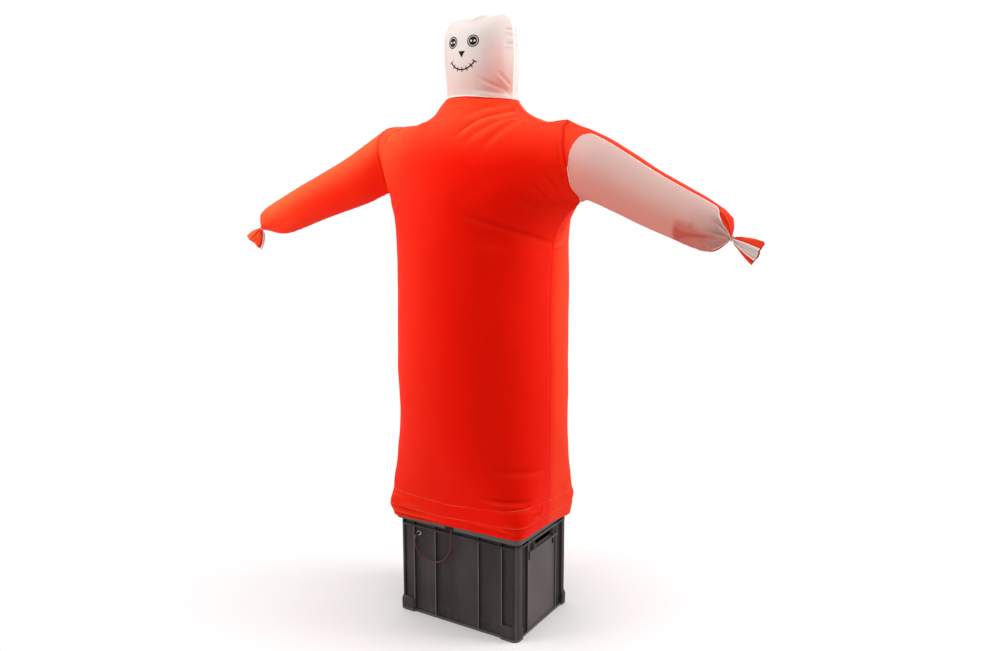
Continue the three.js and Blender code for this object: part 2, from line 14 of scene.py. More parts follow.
import bmesh
import bpy
import numpy as np
from mathutils import Euler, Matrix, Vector


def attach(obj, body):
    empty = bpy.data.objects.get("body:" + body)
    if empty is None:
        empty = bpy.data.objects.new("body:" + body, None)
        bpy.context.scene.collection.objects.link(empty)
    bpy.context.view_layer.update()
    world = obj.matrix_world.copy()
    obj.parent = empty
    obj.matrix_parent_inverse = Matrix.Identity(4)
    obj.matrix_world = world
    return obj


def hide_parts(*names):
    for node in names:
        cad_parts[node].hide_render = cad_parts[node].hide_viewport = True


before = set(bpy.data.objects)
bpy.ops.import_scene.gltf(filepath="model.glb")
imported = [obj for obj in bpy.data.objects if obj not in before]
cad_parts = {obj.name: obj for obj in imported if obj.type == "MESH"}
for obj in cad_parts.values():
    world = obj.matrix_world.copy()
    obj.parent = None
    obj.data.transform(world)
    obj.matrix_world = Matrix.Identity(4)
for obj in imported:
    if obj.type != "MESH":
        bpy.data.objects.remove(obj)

LOG = logging.getLogger("scarecrow")
MM = 0.001
FULL_TURN = 2.0 * math.pi
ONE_BODY = "root"
Array = np.ndarray
Colour = tuple[float, float, float]
Place = tuple[float, float, float]
Fade = tuple[float, float] | None


class Slot(str, Enum):
    """Finishes that the part's record names."""

    RED = "cloth_red"
    WHITE = "cloth_white"
    STRING = "tie_string"
    PLASTIC = "crate_plastic"
    METAL = "socket_metal"
    LEAD = "lead_red"


class Side(str, Enum):
    """The two panels that each tube of cloth is sewn from."""

    FRONT = "front"
    BACK = "back"


def smoothstep(value: Any, low: float, high: float) -> Any:
    """Eases from 0 at low to 1 at high.

    Args:
        value: A number or an array.
        low: Where the step starts.
        high: Where the step ends, which may be the lower number.

    Returns:
        The eased share, of the same shape as value.
    """
    part = np.clip((np.asarray(value, float) - low) / (high - low), 0.0, 1.0)
    return part * part * (3.0 - 2.0 * part)


def between(value: Any, start: float, full: float, fading: float, gone: float) -> Any:
    """Eases from 0 at start to 1 at full, and from 1 at fading back to 0 at gone."""
    return smoothstep(value, start, full) * smoothstep(value, gone, fading)


def bell(value: Any, centre: float, width: float) -> Any:
    """A soft hump: 1 at its centre, and nearly 0 at two widths from it."""
    return np.exp(-(((value - centre) / width) ** 2))


def puff(gap: Any, width: float) -> Any:
    """How cloth swells beside a seam: 0 on it, 1 at a width from it, fading further out."""
    return gap / width * np.exp(1.0 - gap / width)


def signed_power(value: Any, power: float) -> Any:
    """Raises a size to a power and keeps its sign."""
    return np.sign(value) * np.abs(value) ** power


def unit(vector: Array) -> Array:
    """Scales vectors along the last axis to length one."""
    size = np.linalg.norm(vector, axis=-1, keepdims=True)
    return vector / np.maximum(size, 1e-9)


def run_along(line: Array) -> Array:
    """Distance of each point along a line from the first one."""
    steps = np.linalg.norm(np.diff(line, axis=0), axis=1)
    return np.concatenate([[0.0], np.cumsum(steps)])


def around(points: Array) -> Array:
    """Angle of each point about the upright axis, in radians."""
    return np.arctan2(points[..., 1], points[..., 0])


def fit_piece(
    piece: bpy.types.Object, finish: bpy.types.Material, slot: Slot, *nodes: str
) -> bpy.types.Object:
    """Dresses a piece and fixes it to the part in place of its solids.

    Args:
        piece: The object.
        finish: Its material.
        slot: Not used.
        nodes: The solids that it stands for.

    Returns:
        The same object.
    """
    piece.data.materials.append(finish)
    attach(piece, ONE_BODY)
    if nodes:
        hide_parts(*nodes)
    LOG.info("fitted %s for %s", piece.name, ", ".join(nodes) or "no solid")
    return piece


def link_object(name: str, data: bpy.types.ID) -> bpy.types.Object:
    """Puts a new object at the scene's origin.

    Args:
        name: Its name.
        data: Its mesh or curve.

    Returns:
        The object.
    """
    piece = bpy.data.objects.new(name, data)
    bpy.context.scene.collection.objects.link(piece)
    return piece


def object_of(name: str, bm: bmesh.types.BMesh, smooth: bool = True) -> bpy.types.Object:
    """Turns a bmesh into a linked object at the origin.

    Args:
        name: The piece's name.
        bm: The mesh, which is freed.
        smooth: Whether its faces shade smoothly.

    Returns:
        The new object.
    """
    for face in bm.faces:
        face.smooth = smooth
    mesh = bpy.data.meshes.new(name)
    bm.to_mesh(mesh)
    bm.free()
    return link_object(name, mesh)


def round_curve(
    name: str, line: Array, radii: Sequence[float], roundness: int, closed: bool = False
) -> bpy.types.Object:
    """Makes a round cord along a line of points.

    Args:
        name: The piece's name.
        line: The cord's middle, in millimetres.
        radii: Its radius at each point, in millimetres.
        roundness: How finely its section is rounded.
        closed: Whether it runs back into its start.

    Returns:
        The curve object.
    """
    curve = bpy.data.curves.new(name, "CURVE")
    curve.dimensions = "3D"
    curve.bevel_depth = MM
    curve.bevel_resolution = roundness
    curve.use_fill_caps = True
    spline = curve.splines.new("POLY")
    spline.points.add(len(line) - 1)
    spline.use_cyclic_u = closed
    for made, point, radius in zip(spline.points, line * MM, radii):
        made.co = (*point, 1.0)
        made.radius = radius
    return link_object(name, curve)


# Finishes


class Signal:
    """A shader socket that takes part in sums like a number."""

    def __init__(self, bench: "NodeBench", socket: bpy.types.NodeSocket) -> None:
        """Wraps one output socket of a bench's nodes."""
        self.bench = bench
        self.socket = socket

    def _math(self, operation: str, *values: Any) -> "Signal":
        """Adds one Math node that works on the values."""
        made = self.bench.node("ShaderNodeMath", {"operation": operation}, dict(enumerate(values)))
        return Signal(self.bench, made.outputs[0])

    def __add__(self, other: Any) -> "Signal":
        """Sum."""
        return self._math("ADD", self, other)

    def __radd__(self, other: Any) -> "Signal":
        """Sum, reflected."""
        return self._math("ADD", other, self)

    def __sub__(self, other: Any) -> "Signal":
        """Difference."""
        return self._math("SUBTRACT", self, other)

    def __rsub__(self, other: Any) -> "Signal":
        """Difference, reflected."""
        return self._math("SUBTRACT", other, self)

    def __mul__(self, other: Any) -> "Signal":
        """Product."""
        return self._math("MULTIPLY", self, other)

    def __rmul__(self, other: Any) -> "Signal":
        """Product, reflected."""
        return self._math("MULTIPLY", other, self)

    def __truediv__(self, other: Any) -> "Signal":
        """Quotient."""
        return self._math("DIVIDE", self, other)

    def __rtruediv__(self, other: Any) -> "Signal":
        """Quotient, reflected."""
        return self._math("DIVIDE", other, self)

    def __abs__(self) -> "Signal":
        """Size without its sign."""
        return self._math("ABSOLUTE", self)

    def __neg__(self) -> "Signal":
        """Sign turned round."""
        return self._math("MULTIPLY", self, -1.0)

    def sine(self) -> "Signal":
        """Sine of an angle in radians."""
        return self._math("SINE", self)

    def fraction(self) -> "Signal":
        """What is left after whole numbers."""
        return self._math("FRACT", self)

    def root(self) -> "Signal":
        """Square root."""
        return self._math("SQRT", self)

    def most(self, other: Any) -> "Signal":
        """The larger of two."""
        return self._math("MAXIMUM", self, other)

    def angle_from(self, across: "Signal") -> "Signal":
        """Angle of the place (across, self)."""
        return self._math("ARCTAN2", self, across)

    def rise(self, low: float, high: float) -> "Signal":
        """Eases from 0 at low to 1 at high.

        Args:
            low: Where the step starts.
            high: Where it ends.

        Returns:
            The eased signal.
        """
        settings = {"interpolation_type": "SMOOTHSTEP", "clamp": True}
        values = {"Value": self, "From Min": low, "From Max": high}
        made = self.bench.node("ShaderNodeMapRange", settings, values)
        return Signal(self.bench, made.outputs["Result"])

    def fall(self, low: float, high: float) -> "Signal":
        """Eases from 1 at low to 0 at high."""
        return 1.0 - self.rise(low, high)


def strongest(signals: Iterable[Signal]) -> Signal:
    """The largest of several signals."""
    return reduce(Signal.most, signals)


class NodeBench:
    """Makes one shader tree node by node."""

    def __init__(self, tree: bpy.types.NodeTree) -> None:
        """Starts with the tree emptied."""
        self.tree = tree
        self.tree.nodes.clear()

    def node(
        self,
        kind: str,
        settings: Mapping[str, Any] | None = None,
        values: Mapping[Any, Any] | None = None,
    ) -> bpy.types.Node:
        """Adds a node.

        Args:
            kind: The node's type.
            settings: Its properties, set first.
            values: Numbers or signals for its sockets, by number, identifier or name.

        Returns:
            The node.
        """
        made = self.tree.nodes.new(kind)
        for name, value in (settings or {}).items():
            setattr(made, name, value)
        for key, value in (values or {}).items():
            socket = self._socket(made, key)
            if isinstance(value, Signal):
                self.tree.links.new(value.socket, socket)
            else:
                socket.default_value = value
        return made

    @staticmethod
    def _socket(made: bpy.types.Node, key: Any) -> bpy.types.NodeSocket:
        """Finds a node's input by number, identifier or name.

        Args:
            made: The node.
            key: Which input.

        Returns:
            The input.
        """
        if isinstance(key, int):
            return made.inputs[key]
        for socket in made.inputs:
            if socket.identifier == key:
                return socket
        return made.inputs[key]

    def signal(self, made: bpy.types.Node, output: str | int = 0) -> Signal:
        """One output of a node as a signal."""
        return Signal(self, made.outputs[output])

    def coordinates(self, kind: str) -> Signal:
        """One kind of coordinates, as a vector."""
        return self.signal(self.node("ShaderNodeTexCoord"), kind)


class FinishBench(NodeBench):
    """Makes one material node by node."""

    def __init__(self, name: str) -> None:
        """Starts an empty material.

        Args:
            name: The material's name.
        """
        self.material = bpy.data.materials.new(name)
        self.material.use_nodes = True
        super().__init__(self.material.node_tree)

    def parts(self, kind: str) -> list[Signal]:
        """The three numbers of one kind of coordinates."""
        split = self.node("ShaderNodeSeparateXYZ", None, {0: self.coordinates(kind)})
        return [self.signal(split, output) for output in range(3)]

    def place(self) -> list[Signal]:
        """Object coordinates as three signals, in metres."""
        return self.parts("Object")

    def cut(self) -> list[Signal]:
        """Places on the flat cloth across and along its grain, in metres."""
        return self.parts("UV")[:2]

    def mark(self, name: str) -> Signal:
        """A number that the mesh holds at each of its points."""
        return self.signal(self.node("ShaderNodeAttribute", {"attribute_name": name}), "Fac")

    def noise(self, scale: Sequence[float], detail: float = 2.0, on_cut: bool = False) -> Signal:
        """Cloudy variation from 0 to 1.

        Args:
            scale: How many clouds a metre along each direction.
            detail: How many finer layers it has.
            on_cut: Whether it lies on the flat cloth rather than in space.

        Returns:
            The signal.
        """
        source = self.coordinates("UV" if on_cut else "Object")
        scaled = self.node("ShaderNodeMapping", None, {"Vector": source, "Scale": tuple(scale)})
        values = {"Vector": self.signal(scaled), "Scale": 1.0, "Detail": detail}
        return self.signal(self.node("ShaderNodeTexNoise", None, values), "Fac")

    def mix(self, share: Signal, first: Any, second: Any) -> Signal:
        """Blends two colours.

        Args:
            share: 0 for the first colour, 1 for the second.
            first: A colour or a signal.
            second: A colour or a signal.

        Returns:
            The blended colour.
        """
        full = [c if isinstance(c, Signal) else (*c, 1.0) for c in (first, second)]
        settings = {"data_type": "RGBA", "clamp_factor": True}
        values = {"Factor_Float": share, "A_Color": full[0], "B_Color": full[1]}
        made = self.node("ShaderNodeMix", settings, values)
        return next(Signal(self, o) for o in made.outputs if o.identifier == "Result_Color")

    def bump(self, height: Signal, strength: float, distance: float) -> Signal:
        """Turns heights into a surface that catches light."""
        values = {"Height": height, "Strength": strength, "Distance": distance}
        return self.signal(self.node("ShaderNodeBump", None, values))

    def close(self, values: Mapping[str, Any]) -> bpy.types.Material:
        """Ends the material with its surface shader.

        Args:
            values: Numbers, colours or signals for the shader's sockets.

        Returns:
            The material.
        """
        shader = self.node("ShaderNodeBsdfPrincipled", None, values)
        self.node("ShaderNodeOutputMaterial", None, {"Surface": self.signal(shader)})
        return self.material


@dataclass(frozen=True)
class ClothFinish:
    """Thin tightly woven cloth, dyed one colour. Shares are of the colours mixed into the dye."""

    name: str
    dye: Colour
    deep: Colour
    # Colour of painted light.
    glow: Colour
    show: Colour
    # Colours of painted shade in creases and in the deepest folds.
    crease: Colour
    pit_shade: Colour
    seam: Colour
    thread: Colour
    shine: Colour
    seam_share: float
    seam_start: float = 0.0006
    seam_width: float = 0.0042
    roughness: float = 0.66
    roughness_spread: float = 0.16
    specular: float = 0.08
    yarn: float = 0.0011
    deep_share: float = 0.45
    crease_shade_share: float = 0.75
    pit_shade_share: float = 0.5
    stitch_length: float = 0.0042
    stitch_gap_share: float = 0.35
    thread_share: float = 0.12
    fresh_thread_share: float = 0.34
    relief_strength: float = 0.35
    relief_height: float = 0.0004

    CLOUDS = (7.0, 7.0, 5.0)
    STREAKS = (520.0, 9.0, 1.0)
    WEAR = (16.0, 16.0, 16.0)
    SLACKNESS = (60.0, 26.0, 1.0)
    THREAD_WEAR = (14.0, 14.0, 4.0)

    def weave(self, bench: FinishBench) -> Signal:
        """The crossing yarns as heights from about -1 to 1.

        Args:
            bench: The material's bench.

        Returns:
            The heights.
        """
        across, along = bench.cut()
        turns = FULL_TURN / self.yarn
        return (across * turns).sine() * (along * turns).sine()

    def colour(self, bench: FinishBench) -> Signal:
        """The dye with uneven yarns, painted light, what shows through it, painted shade in its
        folds, and its seams.

        Args:
            bench: The material's bench.

        Returns:
            The colour.
        """
        clouds = bench.noise(self.CLOUDS, 3.0)
        streaks = bench.noise(self.STREAKS, 2.0, on_cut=True)
        uneven = (clouds * 0.6 + streaks * 0.4).rise(0.3, 0.75)
        dyed = bench.mix(uneven * self.deep_share, self.dye, self.deep)
        # Painted light: the mesh marks where light falls on the cloth or comes through it.
        lit = bench.mix(bench.mark("glow"), dyed, self.glow)
        shown = bench.mix(bench.mark("show"), lit, self.show)
        # Painted shade: darker in creases and darkest in the deepest folds.
        fold = bench.mark("fold")
        folded = bench.mix(fold * self.crease_shade_share, shown, self.crease)
        folded = bench.mix(fold.rise(0.75, 1.15) * self.pit_shade_share, folded, self.pit_shade)
        seam = bench.mark("seam").fall(self.seam_start, self.seam_width)
        return bench.mix(seam * self.seam_share, folded, self.seam)

    def stitches(self, bench: FinishBench, row: str) -> Signal:
        """One row of stitching, broken into stitches.

        Args:
            bench: The material's bench.
            row: The mark that holds the distance from the row, in metres.

        Returns:
            1 on the thread and 0 beside it.
        """
        across, _ = bench.cut()
        broken = abs((across / self.stitch_length).fraction() - 0.5).fall(0.32, 0.42)
        drawn = broken * (1.0 - self.stitch_gap_share) + self.stitch_gap_share
        return abs(bench.mark(row)).fall(0.0004, 0.0013) * drawn

    def surface(self, bench: FinishBench, colour: Signal, relief: Signal) -> bpy.types.Material:
        """Ends the material with the cloth's dull surface.

        Args:
            bench: The material's bench.
            colour: The cloth's colour.
            relief: Its height.

        Returns:
            The material.
        """
        wear = bench.noise(self.WEAR, 3.0) - 0.5
        return bench.close(
            {
                "Base Color": colour,
                "Roughness": wear * self.roughness_spread + self.roughness,
                "Specular IOR Level": self.specular,
                "Specular Tint": (*self.shine, 1.0),
                "Normal": bench.bump(relief, self.relief_strength, self.relief_height),
            }
        )

    def relief(self, bench: FinishBench) -> Signal:
        """Weave and small slackness as one height."""
        return self.weave(bench) * 0.22 + bench.noise(self.SLACKNESS, 3.0, on_cut=True) * 0.9

    def plain(self) -> bpy.types.Material:
        """The cloth of a sleeve or a hood's back."""
        bench = FinishBench(self.name)
        return self.surface(bench, self.colour(bench), self.relief(bench))

    def hemmed(self) -> bpy.types.Material:
        """The cloth of the body, with two rows of stitching round its hem.

        Returns:
            The material.
        """
        bench = FinishBench(self.name + "_hemmed")
        rows = self.stitches(bench, "upper_row").most(self.stitches(bench, "lower_row"))
        fresh = bench.noise(self.THREAD_WEAR, 2.0).rise(0.4, 0.6)
        share = rows * (fresh * self.fresh_thread_share + self.thread_share)
        colour = bench.mix(share, self.colour(bench), self.thread)
        return self.surface(bench, colour, self.relief(bench) + rows * 0.8)


@dataclass(frozen=True)
class FacePrint:
    """A plain scarecrow's face printed on the hood: button eyes, a nose and a stitched smile."""

    centre_x: float = 0.0
    centre_z: float = 1.507
    eye_apart: float = 0.0300
    eye_up: float = 0.0270
    eye_radius: float = 0.0150
    ring_radius: float = 0.0114
    ring_half: float = 0.0007
    hole_apart: float = 0.0045
    hole_radius: float = 0.00255
    nose_half: float = 0.0100
    nose_tall: float = 0.0160
    nose_down: float = 0.004
    smile_radius: float = 0.0400
    smile_half: float = 0.0018
    smile_up: float = -0.0005
    stitch_turn: float = 0.34
    stitch_half: float = 0.00135
    stitch_reach: float = 0.00612
    ink: Colour = (0.012, 0.011, 0.011)
    ink_wear: float = 0.12
    soft: float = 0.0005

    SMILE_END = (1.02, 1.05)
    STITCH_END = (1.1, 1.14)
    GRAIN = (240.0, 240.0, 240.0)

    def inside(self, distance: Signal) -> Signal:
        """1 where a distance is below zero, with a soft edge."""
        return distance.fall(-self.soft, self.soft)

    def button(self, x: Signal, z: Signal) -> Signal:
        """A button eye: a disc with a pale ring and two pale holes.

        Args:
            x: Distance to its right, in metres.
            z: Distance above it.

        Returns:
            1 on the ink and 0 beside it.
        """
        far = (x * x + z * z).root()
        disc = self.inside(far - self.eye_radius)
        ring = self.inside(abs(far - self.ring_radius) - self.ring_half)
        hole_x = abs(x) - self.hole_apart
        holes = self.inside((hole_x * hole_x + z * z).root() - self.hole_radius)
        return disc * (1.0 - ring.most(holes))

    def nose(self, x: Signal, z: Signal) -> Signal:
        """A triangle that stands on its point.

        Args:
            x: Distance to its right, in metres.
            z: Distance above it.

        Returns:
            1 on the ink and 0 beside it.
        """
        below_top = z - self.nose_tall * 0.5
        slope = self.nose_half / self.nose_tall
        beside = abs(x) - (z + self.nose_tall * 0.5) * slope
        return self.inside(below_top.most(beside))

    def smile(self, x: Signal, z: Signal) -> Signal:
        """A low arc with short stitches across it.

        Args:
            x: Distance to its right, in metres.
            z: Distance above it.

        Returns:
            1 on the ink and 0 beside it.
        """
        low = z - self.smile_up
        far = (x * x + low * low).root()
        turn = (-low).angle_from(x) - math.pi / 2.0
        reach = abs(turn)
        beside = abs(far - self.smile_radius)
        arc = self.inside(beside - self.smile_half) * reach.fall(*self.SMILE_END)
        apart = abs((turn / self.stitch_turn + 0.5).fraction() - 0.5)
        stitch = self.inside(apart * self.stitch_turn * self.smile_radius - self.stitch_half)
        ticks = stitch * self.inside(beside - self.stitch_reach) * reach.fall(*self.STITCH_END)
        return arc.most(ticks)

    def ink_share(self, bench: FinishBench) -> Signal:
        """Where the print's ink lies on the front of the hood.

        Args:
            bench: The material's bench.

        Returns:
            The share at each place.
        """
        x, _, z = bench.place()
        right, up = x - self.centre_x, z - self.centre_z
        eyes = self.button(abs(right) - self.eye_apart, up - self.eye_up)
        drawn = strongest([eyes, self.nose(right, up + self.nose_down), self.smile(right, up)])
        fresh = bench.noise(self.GRAIN, 2.0).rise(0.18, 0.34)
        return drawn * (fresh * self.ink_wear + (1.0 - self.ink_wear))

    def on_cloth(self, cloth: ClothFinish) -> bpy.types.Material:
        """The hood's cloth with the face printed on it.

        Args:
            cloth: The hood's cloth.

        Returns:
            The material.
        """
        bench = FinishBench(cloth.name + "_printed")
        colour = bench.mix(self.ink_share(bench), cloth.colour(bench), self.ink)
        return cloth.surface(bench, colour, cloth.relief(bench))


@dataclass(frozen=True)
class Zone:
    """A soft-edged region of the crate, mirrored about its middle, in metres.

    Each measure has the pair of places where the region fades in, and the pair where it fades out.
    """

    strength: float
    across: tuple[Fade, Fade] = (None, None)
    deep: tuple[Fade, Fade] = (None, None)
    up: tuple[Fade, Fade] = (None, None)

    def share(self, far_x: Signal, far_y: Signal, z: Signal) -> Signal:
        """How strongly the region shows at each place.

        Args:
            far_x: Distance from the middle across.
            far_y: The same in depth.
            z: Height.

        Returns:
            The share at each place.
        """
        share: Any = self.strength
        for measure, (starts, ends) in zip((far_x, far_y, z), (self.across, self.deep, self.up)):
            if starts:
                share = measure.rise(*starts) * share
            if ends:
                share = measure.fall(*ends) * share
        return share


@dataclass(frozen=True)
class MouldedPlastic:
    """Dark moulded plastic: fine grain, pale scratches and specks, painted highlights on its
    crests, painted shadow in its recesses and beside its ribs, dust low down.
    """

    name: str = "crate_moulded"
    shade: Colour = (0.025, 0.0155, 0.0165)
    # The pale colour below serves scratches, random clouds and painted highlights.
    pale: Colour = (0.165, 0.142, 0.135)
    # The near-black colour below is painted shadow in recesses and beside the ribs.
    painted_shadow_colour: Colour = (0.006, 0.005, 0.005)
    dust: Colour = (0.11, 0.099, 0.090)
    roughness: float = 0.46
    specular: float = 0.22
    ribs_x: tuple[float, ...] = (-0.142, -0.070, 0.070, 0.142)
    side_rib_y: float = 0.078
    corner_step: float = 0.050

    # Painted shadow: under the skirt, in the side channels, in the grip slots and in the pockets.
    UNDER_SKIRT = Zone(
        0.97, (None, (0.190, 0.192)), (None, (0.140, 0.142)), ((0.2550, 0.2575), (0.2700, 0.2725))
    )
    CHANNELS = Zone(0.9, ((0.180, 0.182), (0.187, 0.190)), ((0.0785, 0.0800), (0.104, 0.112)))
    SLOTS = Zone(
        1.0,
        ((0.170, 0.172), (0.1836, 0.1842)),
        ((0.0605, 0.0615), (0.0705, 0.0715)),
        ((0.199, 0.200), (0.222, 0.223)),
    )
    POCKETS = Zone(
        0.85,
        ((0.180, 0.182), (0.187, 0.188)),
        ((0.0555, 0.0565), (0.0755, 0.0765)),
        ((0.228, 0.230), (0.249, 0.250)),
    )
    CLOUDS, SCRATCHES, SPECKS = (9.0, 9.0, 5.0), (30.0, 30.0, 420.0), (900.0, 900.0, 900.0)
    DUST_PATCHES, GRAIN = (38.0, 38.0, 38.0), (1500.0, 1500.0, 1500.0)
    # Painted shadow cast on the right of each rib, and painted shade towards the long walls' +X
    # ends.
    BESIDE_RIBS = Zone(0.8, deep=((0.130, 0.132), (0.138, 0.141)))
    FAR_WALLS = Zone(0.42, across=(None, (0.180, 0.186)), deep=((0.126, 0.130), None))
    # Painted highlights on rib fronts, side ribs, corners, the skirt and the short sides; the foot
    # rim is paler.
    RIB_FRONTS = Zone(
        0.62, deep=((0.1364, 0.1374), (0.1388, 0.1394)), up=(None, (0.2555, 0.2565))
    )
    SIDE_RIBS = Zone(
        0.62, across=((0.1864, 0.1874), (0.1888, 0.1894)), up=(None, (0.2555, 0.2565))
    )
    CORNERS = Zone(0.35, across=((0.181, 0.183), None))
    SKIRT = Zone(0.45, up=((0.2705, 0.2715), None))
    FOOT_RIM = Zone(0.4, up=(None, (0.006, 0.0075)))
    SHORT_SIDES = Zone(0.4, ((0.1825, 0.1835), None), (None, (0.076, 0.079)))

    def painted_shadows(self, x: Signal, y: Signal, z: Signal) -> Signal:
        """Painted shadow: under the skirt, in the side channels, grip slots and pockets, on the
        right of the ribs, and towards the long walls' +X ends.

        Args:
            x: Across, in metres.
            y: In depth.
            z: Height.

        Returns:
            The share at each place.
        """
        place = (abs(x), abs(y), z)
        past_ribs = [x - rib for rib in self.ribs_x]
        beside = strongest(past.rise(0.0, 0.002) * past.fall(0.006, 0.024) for past in past_ribs)
        ribs = beside * self.BESIDE_RIBS.share(*place)
        walls = x.rise(-0.06, 0.12) * self.FAR_WALLS.share(*place)
        zones = (self.UNDER_SKIRT, self.CHANNELS, self.SLOTS, self.POCKETS)
        return strongest([ribs, walls, *(zone.share(*place) for zone in zones)])

    def painted_highlights_and_pale_rim(self, x: Signal, y: Signal, z: Signal) -> Signal:
        """Painted highlights on the rib fronts, side ribs, corners, the skirt and the short sides'
        middle panels, and a paler foot rim.

        Args:
            x: Across, in metres.
            y: In depth.
            z: Height.

        Returns:
            The share at each place.
        """
        far_x, far_y = abs(x), abs(y)
        place = (far_x, far_y, z)
        on_ribs = strongest(abs(x - rib).fall(0.0015, 0.0020) for rib in self.ribs_x)
        on_side_ribs = abs(far_y - self.side_rib_y).fall(0.0015, 0.0020)
        on_corners = abs(far_x - far_y - self.corner_step).fall(0.0015, 0.0045)
        highlighted = [
            on_ribs * self.RIB_FRONTS.share(*place),
            on_side_ribs * self.SIDE_RIBS.share(*place),
            on_corners * self.CORNERS.share(*place),
        ]
        zones = (self.SKIRT, self.FOOT_RIM, self.SHORT_SIDES)
        return strongest([*highlighted, *(zone.share(*place) for zone in zones)])

    def dress(self) -> bpy.types.Material:
        """Makes the material.

        Returns:
            The material.
        """
        bench = FinishBench(self.name)
        x, y, z = bench.place()
        clouds = bench.noise(self.CLOUDS, 3.0).rise(0.35, 0.75)
        scratches = bench.noise(self.SCRATCHES, 3.0).rise(0.66, 0.78)
        specks = bench.noise(self.SPECKS, 1.0).rise(0.74, 0.82)
        low = z.fall(0.0, 0.07) * bench.noise(self.DUST_PATCHES, 3.0).rise(0.42, 0.7)
        base = bench.mix(clouds * 0.18, self.shade, self.pale)
        # Painted shadow in recesses and beside the ribs.
        shadowed = bench.mix(self.painted_shadows(x, y, z), base, self.painted_shadow_colour)
        # Painted highlights on crests and corners, and a paler foot rim.
        highlighted = bench.mix(self.painted_highlights_and_pale_rim(x, y, z), shadowed, self.pale)
        scuffed = bench.mix(scratches * 0.16 + specks * 0.18, highlighted, self.pale)
        dusty = bench.mix(low * 0.25, scuffed, self.dust)
        grain = bench.noise(self.GRAIN, 2.0)
        return bench.close(
            {
                "Base Color": dusty,
                "Roughness": clouds * 0.08 + scratches * 0.1 + low * 0.15 + self.roughness,
                "Specular IOR Level": self.specular,
                "Normal": bench.bump(grain * 0.5 + clouds * 0.8, 0.22, 0.0004),
            }
        )


@dataclass(frozen=True)
class PlatedMetal:
    """Bright plated metal with fine turning marks round an axis along Y."""

    name: str = "socket_plated"
    shade: Colour = (0.55, 0.55, 0.56)
    dull: Colour = (0.26, 0.25, 0.24)
    centre_x: float = -0.126
    centre_z: float = 0.234
    mark_apart: float = 0.0002992
    roughness: float = 0.2

    STAINS = (420.0, 420.0, 420.0)

    def dress(self) -> bpy.types.Material:
        """Makes the material.

        Returns:
            The material.
        """
        bench = FinishBench(self.name)
        x, _, z = bench.place()
        right, up = x - self.centre_x, z - self.centre_z
        turned = ((right * right + up * up).root() * (FULL_TURN / self.mark_apart)).sine()
        stains = bench.noise(self.STAINS, 3.0).rise(0.45, 0.75)
        return bench.close(
            {
                "Base Color": bench.mix(stains * 0.5, self.shade, self.dull),
                "Metallic": 1.0,
                "Roughness": stains * 0.25 + self.roughness,
                "Normal": bench.bump(turned, 0.12, 0.0001),
            }
        )


@dataclass(frozen=True)
class CordFinish:
    """A cord's skin: rubber for the lead, twisted yarn for the ties."""

    name: str
    shade: Colour
    worn: Colour
    roughness: float
    twist: float

    PATCHES = (120.0, 120.0, 120.0)

    def dress(self) -> bpy.types.Material:
        """Makes the material.

        Returns:
            The material.
        """
        bench = FinishBench(self.name)
        x, y, z = bench.place()
        lay = ((x + y + z) * (FULL_TURN / self.twist)).sine()
        patches = bench.noise(self.PATCHES, 3.0).rise(0.4, 0.72)
        strands = lay.rise(-0.8, 0.8)
        return bench.close(
            {
                "Base Color": bench.mix(patches * 0.6 + strands * 0.2, self.shade, self.worn),
                "Roughness": patches * 0.15 + (self.roughness - 0.07),
                "Normal": bench.bump(strands, 0.2, 0.0003),
            }
        )


# Red cloth: its orange colour is painted light, and its crease and pit colours are painted shade.
RED_CLOTH = ClothFinish(
    name="cloth_red_woven",
    dye=(0.92, 0.0058, 0.0008),
    deep=(0.82, 0.0040, 0.0006),
    glow=(0.98, 0.138, 0.040),
    show=(0.98, 0.138, 0.040),
    crease=(0.58, 0.003, 0.0006),
    pit_shade=(0.26, 0.0015, 0.0005),
    seam=(0.66, 0.004, 0.0008),
    thread=(0.95, 0.20, 0.11),
    shine=(1.0, 0.60, 0.22),
    seam_share=0.75,
    seam_width=0.0070,
)
# White cloth: its pink colour is painted light coming through it, and its crease and pit colours
# are painted shade.
WHITE_CLOTH = ClothFinish(
    name="cloth_white_woven",
    dye=(0.735, 0.685, 0.645),
    deep=(0.685, 0.625, 0.580),
    glow=(0.68, 0.235, 0.185),
    show=(0.52, 0.085, 0.062),
    crease=(0.56, 0.30, 0.245),
    pit_shade=(0.50, 0.24, 0.19),
    seam=(0.98, 0.95, 0.93),
    thread=(0.95, 0.92, 0.90),
    shine=(1.0, 1.0, 1.0),
    seam_share=0.9,
    roughness=0.7,
)
# A lighter copy of the white cloth for the hood's back panel: painted light where the lamp falls on
# it.
LIT_WHITE_CLOTH = replace(
    WHITE_CLOTH, name="cloth_white_thin", dye=(0.79, 0.765, 0.73), deep=(0.75, 0.72, 0.685)
)


# Cloth


